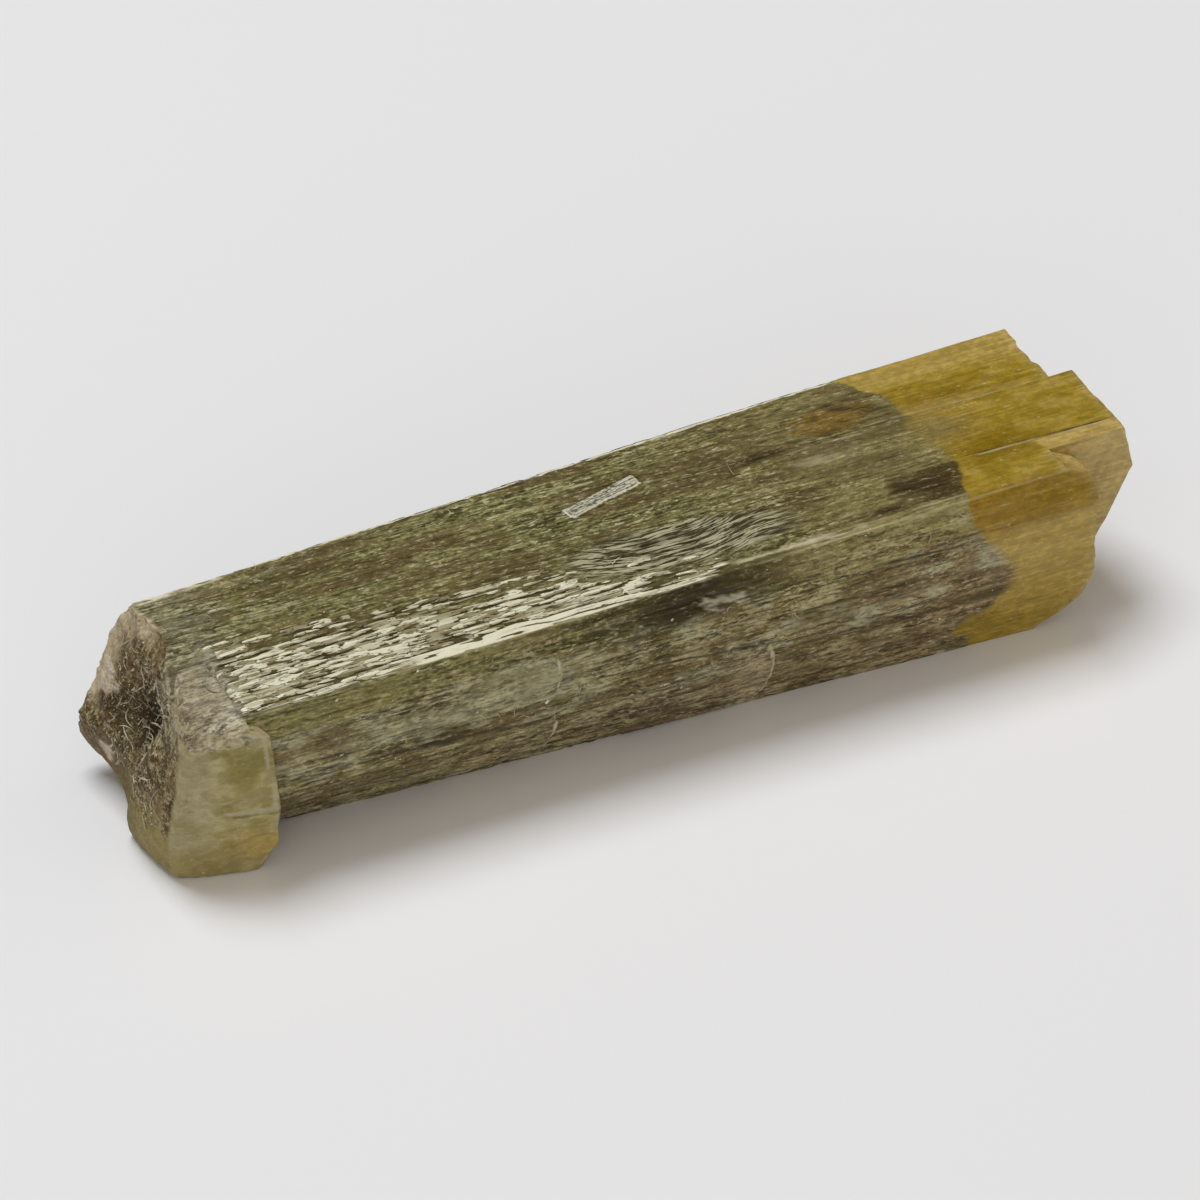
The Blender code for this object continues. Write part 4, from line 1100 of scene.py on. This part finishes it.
# %% The marks and tints go into the mesh
MOST_DULL = 0.55
dull = np.maximum(broken, MOST_DULL * fuzzy)
new_marks = {"clear": np.clip(clear, -MOST_CLEAR, MOST_CLEAR), "broken": dull, "strength": strength, "side": on_front}
for name, values in new_marks.items():
    add_mark(crystal.data, name, "FLOAT", "value", values)
for name, tint in {"body_tint": body_tint, "clear_tint": clear_tint}.items():
    add_mark(crystal.data, name, "FLOAT_COLOR", "color", np.concatenate([tint, np.ones((len(points), 1))], 1))
print("marks in the mesh:", ", ".join(a.name for a in crystal.data.attributes if not a.name.startswith(".")))


# %% [markdown]
# Materials are sums of patterns, so they are easier to read as sums. A Wire is one output of the node tree; adding
# or multiplying wires adds a Math node. A Paint is the tree itself, with one method that makes any node and a few
# that stand for the kinds of node used here.

# %% Sums of sockets
class Wire:
    """One output socket of a node tree, for use in sums."""

    def __init__(self, paint, socket):
        self.paint, self.socket = paint, socket

    def _math(self, operation, first, second):
        """A Math node on two wires or numbers."""
        return self.paint.node("Math", {"operation": operation}, {0: first, 1: second})

    def __add__(self, other):
        return self._math("ADD", self, other)

    def __radd__(self, other):
        return self._math("ADD", other, self)

    def __sub__(self, other):
        return self._math("SUBTRACT", self, other)

    def __rsub__(self, other):
        return self._math("SUBTRACT", other, self)

    def __mul__(self, other):
        return self._math("MULTIPLY", self, other)

    def __rmul__(self, other):
        return self._math("MULTIPLY", other, self)


class Paint:
    """A node tree, and the few ways that the materials here add nodes to it."""

    def __init__(self, owner):
        owner.use_nodes = True
        self.tree = owner.node_tree
        self.tree.nodes.clear()

    def node(self, kind, settings=None, inputs=None, output=0):
        """Any node: its type, its settings, and the values or wires of its sockets."""
        node = self.tree.nodes.new("ShaderNode" + kind)
        for name, value in (settings or {}).items():
            setattr(node, name, value)
        for name, value in (inputs or {}).items():
            if isinstance(value, Wire):
                self.tree.links.new(value.socket, node.inputs[name])
            else:
                node.inputs[name].default_value = value
        return Wire(self, node.outputs[output]) if node.outputs else None

    def mix(self, share, first, second):
        """A colour between two colours or wires of colour."""
        colours = [c if isinstance(c, Wire) else (*c, 1.0) for c in (first, second)]
        return self.node("Mix", {"data_type": "RGBA"}, {0: share, 6: colours[0], 7: colours[1]}, output=2)

    def glaze(self, colour, *layers):
        """A colour with layers of other colours over it: each layer is the share that it covers and its colour."""
        for share, other in layers:
            colour = self.mix(share, colour, other)
        return colour

    def shade(self, colour, light):
        """A colour made lighter or darker by a number."""
        return self.node("VectorMath", {"operation": "SCALE"}, {0: colour, 3: light})

    def ease(self, value, start, end):
        """0 where value is at start, 1 where it is at end, smooth between."""
        return self.node("MapRange", {"interpolation_type": "SMOOTHSTEP"}, {0: value, 1: start, 2: end})

    def swing(self, pattern, start, end, depth):
        """A factor from 1 - depth where the pattern is at start to 1 + depth where it is at end."""
        return 1 - depth + 2 * depth * self.ease(pattern, start, end)

    def mark(self, name):
        """A number that the mesh carries at each point."""
        return self.node("Attribute", {"attribute_name": name}, output=2)

    def tint(self, name):
        """A colour that the mesh carries at each point."""
        return self.node("Attribute", {"attribute_name": name}, output=0)

    def place(self, stretch):
        """Object coordinates in mm, divided by how long the pattern should be along each axis."""
        coordinates = self.node("TexCoord", output=3)
        return self.node("Mapping", inputs={"Vector": coordinates, "Scale": tuple(1 / (MM * s) for s in stretch)})

    def noise(self, place, detail=2.0, roughness=0.5, distortion=0.0):
        """Soft noise at a place that is already stretched."""
        return self.node("TexNoise", inputs={"Vector": place, "Scale": 1.0, "Detail": detail,
                                             "Roughness": roughness, "Distortion": distortion})

    def grain(self, stretch, detail=2.0, roughness=0.5, distortion=0.0):
        """Soft noise whose blobs have the given size in mm along X, Y and Z."""
        return self.noise(self.place(stretch), detail, roughness, distortion)

    def torn_place(self, stretch, ragged):
        """A stretched place, pushed about by finer noise, so that cells drawn on it have ragged outlines."""
        finer = self.place([0.6 * s for s in stretch])
        stir = self.node("TexNoise", inputs={"Vector": finer, "Scale": 1.0}, output=1)
        return self.node("VectorMath", {"operation": "MULTIPLY_ADD"},
                         {0: stir, 1: (ragged, ragged, ragged), 2: self.place(stretch)})

    def cells(self, place, feature, output=0):
        """Cells at a place: output 0 is a distance, output 1 each cell's own random colour."""
        return self.node("TexVoronoi", {"feature": feature}, {"Vector": place, "Scale": 1.0}, output)

    def number(self, colour):
        """The first channel of a colour, as a number."""
        return self.node("SeparateColor", inputs={0: colour})

    def lines(self, pattern, level, width):
        """1 along the thin winding line where a pattern crosses a level, 0 away from it."""
        away = self.node("Math", {"operation": "ABSOLUTE"}, {0: pattern - level})
        return self.ease(away, width, width * 0.4)


print("ways to add nodes:", ", ".join(name for name in vars(Paint) if not name.startswith("_")))

# %% [markdown]
# The crystal's finish. Diopside is glassy, but this one is packed with fine fibres, so its body is cloudy and only
# the tips and the lip let light through. A body full of real fibres would never render in time, so the fibres are
# patterns on the skin. Two shaders are mixed in the end: a cloudy one and a clear one with plain transmission.
# Here are the marks that the mesh carries, and the patterns that every part of the finish draws on.

# %% The crystal's marks and patterns
MARKS = ("clear", "worn", "pale", "smooth", "relief", "tone", "rim", "fan", "bent", "loose", "loose_side",
         "broken", "strength", "side")
diopside = bpy.data.materials.new("diopside")
paint = Paint(diopside)
at = SimpleNamespace(**{name: paint.mark(name) for name in MARKS})
clearness = paint.ease(at.clear, -1.0, 1.0)

long_line = paint.grain((4.5, 0.11, 0.11), 2.0, 0.6)
fibre = paint.grain((1.6, 0.070, 0.070), 2.0, 0.6)
fleck = paint.grain((0.26, 0.075, 0.075), 2.0, 0.6)
blot = paint.grain((0.27, 0.18, 0.18), 2.0, 0.65)
sand = paint.grain((0.15, 0.075, 0.075), 1.0, 0.7)
pocket = paint.grain((0.55, 0.13, 0.13), 2.0, 0.6)
rubble = paint.grain((0.30, 0.24, 0.24), 2.0, 0.6)
ripple = paint.grain((0.50, 0.073, 0.073), 1.0, 0.6)
print("marks:", len(MARKS), "nodes so far:", len(paint.tree.nodes))

# %% [markdown]
# The cloudy body: its tint, darker or lighter with five patterns multiplied together, from long lines to fine sand.
# Where they all add up it turns pale, not merely bright, as fibres do that catch the light. Dark fibres, dark
# pockets and pale flecks, which are painted glints, are drawn on top, and the hollows of the relief are darkened
# with painted shade.

# %% The cloudy body
PALE_FIBRES, DARK_FIBRES = (0.52, 0.47, 0.27), (0.026, 0.018, 0.004)
POCKETS, GLINT_FLECKS, HOLLOW_SHADE = (0.040, 0.026, 0.005), (0.54, 0.50, 0.32), (0.030, 0.022, 0.006)
BODY_GAIN = 1.05
front_fibre = fibre + (0.5 - fibre) * at.side * 0.3
light = (paint.swing(long_line, 0.40, 0.60, 0.30) * paint.swing(front_fibre, 0.42, 0.58, 0.35)
         * paint.swing(fleck, 0.42, 0.58, 0.30) * paint.swing(blot, 0.38, 0.62, 0.30)
         * paint.swing(sand, 0.44, 0.56, 0.35))
light = at.strength * (light - 1.0)
darker = paint.node("Math", {"operation": "MINIMUM"}, {0: light, 1: 0.0})
body = paint.glaze(
    paint.shade(paint.tint("body_tint"), BODY_GAIN + darker),
    (paint.ease(light, 0.0, 1.6) * 0.55, PALE_FIBRES),
    (paint.ease(fibre, 0.39, 0.34) * at.strength * 0.7, DARK_FIBRES),
    (paint.ease(pocket, 0.44, 0.38) * at.strength * 0.8, POCKETS),
    # painted glints: pale flecks where the fleck pattern peaks
    (paint.ease(fleck, 0.63, 0.68) * at.strength * 0.75, GLINT_FLECKS),
    # painted shade: the hollows of the relief are darkened
    (paint.ease(at.relief, 0.0, -0.03) * 0.6, HOLLOW_SHADE),
)
print("nodes so far:", len(paint.tree.nodes))

# %% [markdown]
# The fan of bent fibres and the loose lath have lines of their own, which run along coordinates that bend or turn
# with them. Stretched noise on those coordinates gives the lines.

# %% Bent fibres and the loose lath
DARK_STRAND, PALE_STRAND = (0.034, 0.026, 0.009), (0.46, 0.42, 0.27)
LATH_DARK, LATH_PALE, LATH_EDGE = (0.12, 0.11, 0.065), (0.54, 0.52, 0.40), (0.66, 0.63, 0.48)
along = paint.node("SeparateXYZ", inputs={0: paint.place((1.0, 1.0, 1.0))}, output=0)
bent_place = paint.node("CombineXYZ", inputs={0: along * 0.9, 1: at.bent * 15.0, 2: 0.0})
lath_place = paint.node("CombineXYZ", inputs={0: along * 1.5, 1: at.loose_side * 22.0, 2: 0.0})
strands = paint.mix(paint.ease(paint.noise(bent_place, 2.0, 0.6), 0.46, 0.56), DARK_STRAND, PALE_STRAND)
lath_line = paint.noise(lath_place, 2.0, 0.6) * 0.6 + sand * 0.4
body = paint.glaze(
    body,
    (at.fan * 0.85, strands),
    (paint.ease(at.loose, 0.47, 0.50), paint.mix(paint.ease(lath_line, 0.44, 0.56), LATH_DARK, LATH_PALE)),
    (paint.ease(at.loose, 0.50, 0.53) * paint.ease(at.loose, 0.62, 0.56) * 0.8, LATH_EDGE),
)
print("nodes so far:", len(paint.tree.nodes))

# %% [markdown]
# The break is rubble: dark gaps, lighter grains, and thin curled fibres, which are drawn where a warped noise crosses
# its middle level.

# %% The break
GAPS, GRAINS, CURLS = (0.050, 0.026, 0.005), (0.42, 0.33, 0.19), (0.54, 0.47, 0.34)
rough_break = at.broken * at.strength
curls = paint.lines(paint.grain((0.30, 0.30, 0.30), 1.0, 0.5, 1.2), 0.5, 0.035) * paint.ease(blot, 0.40, 0.52)
body = paint.glaze(
    body,
    (paint.ease(rubble, 0.50, 0.43) * rough_break * 0.85, GAPS),
    (paint.ease(rubble, 0.60, 0.66) * rough_break * 0.45, GRAINS),
    (rough_break * curls * 0.45, CURLS),
)
print("nodes so far:", len(paint.tree.nodes))

# %% [markdown]
# The scraped strip is dark between its splinters. The splinters are cream, each with its own shade, and split by
# dark cracks along the borders of long ragged cells. The smooth band has fewer cracks. The cream of the splinters and
# of the band is partly their own paleness and partly a painted reflection of the lamp.

# %% The scraped strip
STRIP_DARK, CRACKS = (0.066, 0.050, 0.012), (0.055, 0.040, 0.010)
CREAM_DARK, PALE_CREAM_AND_SHEEN, SMOOTH_CREAM_AND_SHEEN = (0.24, 0.20, 0.10), (0.68, 0.65, 0.48), (0.70, 0.67, 0.50)
shard_place = paint.torn_place((0.60, 0.080, 0.080), 0.5)
shard_tone = paint.number(paint.cells(shard_place, "F1", output=1))
crack = paint.ease(paint.cells(shard_place, "DISTANCE_TO_EDGE"), 0.060, 0.015)
cream_and_sheen = paint.glaze(
    paint.mix(paint.ease(shard_tone, 0.1, 0.8), CREAM_DARK, PALE_CREAM_AND_SHEEN),
    (at.smooth, SMOOTH_CREAM_AND_SHEEN),
    (crack * paint.ease(blot, 0.36, 0.52) * (0.85 - at.smooth * 0.7), CRACKS),
)
# the cream is partly the splinters' own paleness and partly a painted reflection of the lamp
body = paint.glaze(body, (at.worn * 0.8, STRIP_DARK), (paint.ease(at.pale, 0.32, 0.46), cream_and_sheen))
print("nodes so far:", len(paint.tree.nodes))

# %% [markdown]
# The clear parts keep a little of the same patterns, because fibres run on into them, but softer. They are mixed with
# the body at the sharp border, and the streaks, and the painted highlights on the plates' rims, are laid over both.

# %% The clear parts, the streaks and the painted highlights on the rims
BRIGHT_FIBRES, CLEAR_GLINT_FLECKS = (0.68, 0.54, 0.22), (0.74, 0.66, 0.40)
PALE_STREAK, DARK_STREAK, RIM_HIGHLIGHT = (0.50, 0.45, 0.29), (0.034, 0.022, 0.006), (0.58, 0.53, 0.39)
glow = (paint.swing(long_line, 0.40, 0.60, 0.16) * paint.swing(blot, 0.36, 0.64, 0.16)
        * paint.swing(fibre, 0.42, 0.58, 0.14))
grit = paint.swing(sand, 0.42, 0.58, 0.04) * paint.swing(blot, 0.40, 0.60, 0.06)
gold = paint.glaze(
    paint.shade(paint.tint("clear_tint"), grit * (1.0 + at.strength * (glow - 1.0))),
    (paint.ease(fibre, 0.60, 0.66) * at.strength * 0.5, BRIGHT_FIBRES),
    # painted glints in the clear parts: bright flecks where the fleck pattern peaks
    (paint.ease(fleck, 0.68, 0.73) * 0.6, CLEAR_GLINT_FLECKS),
)
colour = paint.glaze(
    body,
    (clearness, gold),
    (paint.ease(at.tone, 0.05, 0.9) * 0.85, PALE_STREAK),
    (paint.ease(at.tone, -0.05, -0.9) * 0.88, DARK_STREAK),
    # painted highlight along the plates' curved ends
    (paint.ease(at.rim, 0.50, 0.80) * 0.9, RIM_HIGHLIGHT),
)
print("nodes so far:", len(paint.tree.nodes))

# %% [markdown]
# The surface. Diopside bends light with an index of 1.67. The clear shader transmits light, and the absorption inside
# turns a long way through the crystal deep yellow. A share of it is mixed in where the crystal is clear. The bump is
# only a ripple of a few hundredths of a millimetre, since the relief is in the mesh.

# %% Surface and inside
DIOPSIDE_IOR, CLEAR_SHARE = 1.67, 0.28
bump = paint.node("Bump", inputs={"Strength": 0.40, "Distance": 0.03 * MM,
                                  "Height": ripple * (1.3 - clearness * 1.24 + at.broken * 1.5)})
cloudy = paint.node("BsdfPrincipled", inputs={
    "Base Color": colour, "Roughness": 0.14 + 0.24 * blot + at.broken * 0.42, "IOR": DIOPSIDE_IOR,
    "Specular IOR Level": 0.12, "Normal": bump})
through = paint.node("BsdfPrincipled", inputs={
    "Base Color": (0.98, 0.90, 0.62, 1.0), "Roughness": 0.16, "IOR": DIOPSIDE_IOR, "Transmission Weight": 1.0})
surface = paint.node("MixShader", inputs={0: clearness * CLEAR_SHARE, 1: cloudy, 2: through})
absorption = paint.node("VolumeAbsorption", inputs={"Color": (0.85, 0.66, 0.08, 1.0), "Density": 330.0})
paint.node("OutputMaterial", inputs={"Surface": surface, "Volume": absorption})

crystal.data.materials.clear()
crystal.data.materials.append(diopside)
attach(crystal, "root")
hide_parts("diopside_crystal")
print("nodes in the crystal's finish:", len(paint.tree.nodes))

# %% [markdown]
# Loose splinters and crumbs of the crystal cling to the break and lie here and there on the faces. Particles would
# be dropped when the model is exported, so all of them are one mesh, made from arrays in one step. Each splinter is a
# thin bent tube and each crumb a small eight-sided grain. First: where they perch.

# %% Places for splinters and crumbs
def lucky(count, seed):
    """Fixed random numbers from 0 to 1, one for each of count."""
    n = np.arange(count)
    return lattice(n, n * 0, n * 0, seed)


def perches(count, seed, share):
    """Points on the crystal's faces with their outward directions: faces are drawn with a chance in proportion to
    their area times share."""
    faces = len(crystal.data.polygons)
    centre, normal, area = np.empty(3 * faces), np.empty(3 * faces), np.empty(faces)
    for field, values in (("center", centre), ("normal", normal), ("area", area)):
        crystal.data.polygons.foreach_get(field, values)
    centre = from_frame(centre.reshape(-1, 3))
    chance = np.cumsum(area * share(*centre.T))
    drawn = np.searchsorted(chance, lucky(count, seed) * chance[-1])
    return centre[drawn], normal.reshape(-1, 3)[drawn]


def on_break(x, y, z):
    """1 on the rough part of the break, 0 elsewhere."""
    middle = rise(y, -2.4, -1.9) * rise(y, 1.5, 1.2)
    return rise(x, -11.9, -12.4) * rise(z, 0.8, 1.8) * rise(z, 5.3, 4.9) * middle


def on_faces(x, y, z):
    """How many crumbs the faces hold: most on the front, fewer on the top towards the right, none on the tips."""
    on_front = y < -3.4
    return (rise(z, 1.0, 2.0) * rise(x, -12.3, -11.5) * rise(x, 11.0, 9.5)
            * (0.25 + ~on_front * rise(x, 3.0, -2.0) + 1.3 * on_front))


print("first perch on the break, mm:", perches(1, 401, on_break)[0].round(2))

# %% Bent tubes
TUBE_RINGS, TUBE_SIDES = 9, 4


def splinters(count, seed, share, length, thick):
    """Bent tubes of four sides: points along s from -1 to 1 at centre + s * along + s * s * bow * aside, lifted off
    the face at one end, thinning towards both ends."""
    centre, normal = perches(count, seed, share)
    turn, long, bend, lift, wide = (lucky(count, seed + n)[:, None] for n in range(1, 6))
    angle = (turn - 0.5) * 2 * math.pi
    east = np.cross(normal, [0.0, 0.3, 0.9])
    east = east / np.linalg.norm(east, axis=1, keepdims=True)
    north = np.cross(normal, east)
    along = east * np.cos(angle) + north * np.sin(angle)
    aside = -east * np.sin(angle) + north * np.cos(angle)
    s = np.linspace(-1, 1, TUBE_RINGS)[None, :, None]
    reach = length * (0.4 + 0.6 * long)[:, None]
    bow = 1.6 * (bend - 0.5)[:, None]
    path = centre[:, None] + normal[:, None] * (0.02 + 0.05 * lift[:, None] * (s + 1) ** 2)
    path = path + along[:, None] * s * reach + aside[:, None] * (s * s * bow + 0.35 * bow * s ** 3) * reach
    width = thick * (0.5 + wide)[:, None] * (1.05 - s ** 4)
    quarter_turns = np.arange(TUBE_SIDES) * 2 * math.pi / TUBE_SIDES
    sides = [normal[:, None] * math.cos(q) + aside[:, None] * math.sin(q) for q in quarter_turns]
    rings = np.stack([path + side * width for side in sides], 2)
    one = np.array(tube_faces(TUBE_RINGS, TUBE_SIDES)[:-2])
    shift = (np.arange(count) * TUBE_RINGS * TUBE_SIDES)[:, None, None]
    return rings.reshape(-1, 3), (one + shift).reshape(-1, 4)


print("faces of one splinter:", (TUBE_RINGS - 1) * TUBE_SIDES)

# %% Small grains
GRAIN_FACES = np.array([(0, 1, 4), (1, 2, 4), (2, 3, 4), (3, 0, 4), (1, 0, 5), (2, 1, 5), (3, 2, 5), (0, 3, 5)])


def crumbs(count, seed, share, size):
    """Grains with six points, one each way along three leaning axes of uneven length."""
    centre, normal = perches(count, seed, share)
    long, big, lean, wide = (lucky(count, seed + n)[:, None] for n in range(1, 5))
    one = np.ones((count, 1))
    size = size * (0.4 + 1.2 * big ** 3)
    x_axis = size * (0.7 + 1.8 * long ** 2) * np.concatenate([one, 0.6 * (big - 0.5), 0.4 * (lean - 0.5)], 1)
    y_axis = size * (0.4 + 0.6 * wide) * np.concatenate([0.5 * (lean - 0.5), one, 0.5 * (long - 0.5)], 1)
    z_axis = np.cross(x_axis, y_axis) / size * 1.2
    tips = np.stack([x_axis, y_axis, -x_axis, -y_axis, z_axis, -z_axis], 1)
    tips = tips + (centre + 0.3 * size * normal)[:, None]
    shift = (np.arange(count) * tips.shape[1])[:, None, None]
    return tips.reshape(-1, 3), (GRAIN_FACES + shift).reshape(-1, 3)


batches = (splinters(90, 401, on_break, 0.30, 0.014), splinters(34, 431, on_faces, 0.26, 0.010),
           crumbs(170, 461, on_break, 0.050), crumbs(200, 491, on_faces, 0.034))
bit_points, bit_faces = [], []
for batch_points, batch_faces in batches:
    bit_faces += (batch_faces + sum(len(p) for p in bit_points)).tolist()
    bit_points.append(batch_points)
bits = add_piece("splinters_and_crumbs", keep_in_box(np.concatenate(bit_points)), bit_faces)
print("faces of the splinters and crumbs:", len(bits.data.polygons))

# %% [markdown]
# The crumbs are crushed crystal, so they look pale and half dull: broken glass turns white in the same way. One soft
# pattern makes some a little darker than others.

# %% Finish of the crumbs
CRUMB_DARK, CRUMB_PALE, CRUMB_ROUGHNESS, CRUMB_IOR = (0.30, 0.25, 0.15), (0.66, 0.61, 0.46), 0.45, 1.6


def one_shader(paint, colour, roughness, ior):
    """The whole of a simple material: one shader, whose colour may be a wire, and the output."""
    shader = paint.node("BsdfPrincipled", inputs={"Base Color": colour, "Roughness": roughness, "IOR": ior})
    paint.node("OutputMaterial", inputs={"Surface": shader})


crumb_finish = bpy.data.materials.new("crumbs")
paint = Paint(crumb_finish)
shades = paint.mix(paint.ease(paint.grain((0.5, 0.5, 0.5)), 0.35, 0.65), CRUMB_DARK, CRUMB_PALE)
one_shader(paint, shades, CRUMB_ROUGHNESS, CRUMB_IOR)
bits.data.materials.append(crumb_finish)
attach(bits, "root")
print("nodes in the crumbs' finish:", len(paint.tree.nodes))

# %% [markdown]
# The table is a plain glossy white sheet. It lies a hair below the crystal, because two surfaces at the same height
# would flicker between black and white where they touch. It is stage, and not part of the crystal.

# %% The table
TABLE_GAP, TABLE_HALF = 0.01 * MM, 1.5
TABLE_WHITE, TABLE_ROUGHNESS, TABLE_IOR = (0.80, 0.79, 0.785, 1.0), 0.12, 1.45
corners = [(x * TABLE_HALF, y * TABLE_HALF, -TABLE_GAP) for x, y in ((-1, -1), (1, -1), (1, 1), (-1, 1))]
mesh = bpy.data.meshes.new("table")
mesh.from_pydata(corners, [], [(0, 1, 2, 3)])
table = bpy.data.objects.new("table", mesh)
bpy.context.scene.collection.objects.link(table)
table_finish = bpy.data.materials.new("white_table")
one_shader(Paint(table_finish), TABLE_WHITE, TABLE_ROUGHNESS, TABLE_IOR)
mesh.materials.append(table_finish)
print("the table is, m:", 2 * TABLE_HALF, "wide")

# %% [markdown]
# The light is soft and comes from above and a little behind, as from a white tent with a lamp over it. Its mirror
# image adds to the shine of the scraped strip, whose pale colour is also a painted reflection, so the lamp hangs
# where that strip reflects the camera. The tent's back wall is dark, because the crystal's top mirrors it towards the
# camera, and a bright wall would wash out the colours. A second lamp lights the front face.

# %% The tent
TENT_WALL, TENT_ROOF, TENT_BACK = (0.91, 0.815, 0.70), (1.06, 0.975, 0.85), (0.16, 0.16, 0.16)
TENT_STRENGTH = 0.48
bpy.context.scene.view_settings.view_transform = "Standard"
world = bpy.data.worlds.new("white_tent")
bpy.context.scene.world = world
paint = Paint(world)
direction = paint.node("TexCoord", output=0)
upward = paint.node("SeparateXYZ", inputs={0: direction}, output=2)
backward = paint.node("SeparateXYZ", inputs={0: direction}, output=1)
back_wall = paint.ease(backward, 0.15, 0.55) * paint.ease(upward, 0.84, 0.66)
sky = paint.mix(back_wall, paint.mix(paint.ease(upward, 0.3, 0.95), TENT_WALL, TENT_ROOF), TENT_BACK)
background = paint.node("Background", inputs={"Color": sky, "Strength": TENT_STRENGTH})
paint.node("OutputWorld", inputs={"Surface": background})
print("nodes in the tent's light:", len(paint.tree.nodes))

# %% The lamps
LAMP_COLOUR = (0.955, 1.01, 1.095)


def softbox(name, toward, distance, width, height, power):
    """A flat rectangular lamp at a distance along a direction from the crystal, facing it."""
    light = bpy.data.lights.new(name, "AREA")
    light.shape, light.size, light.size_y, light.energy = "RECTANGLE", width, height, power
    light.color = LAMP_COLOUR
    lamp = bpy.data.objects.new(name, light)
    bpy.context.scene.collection.objects.link(lamp)
    way = Vector(toward).normalized()
    lamp.location = AIM + way * distance
    lamp.rotation_euler = (-way).to_track_quat("-Z", "Y").to_euler()


softbox("overhead", (-0.10, 0.33, 0.94), 0.50, 0.24, 0.22, 1.72)
softbox("front_left", (-0.45, -0.87, 0.26), 0.60, 0.60, 0.30, 0.85)
print("lamps:", len(bpy.data.lights))

# %% [markdown]
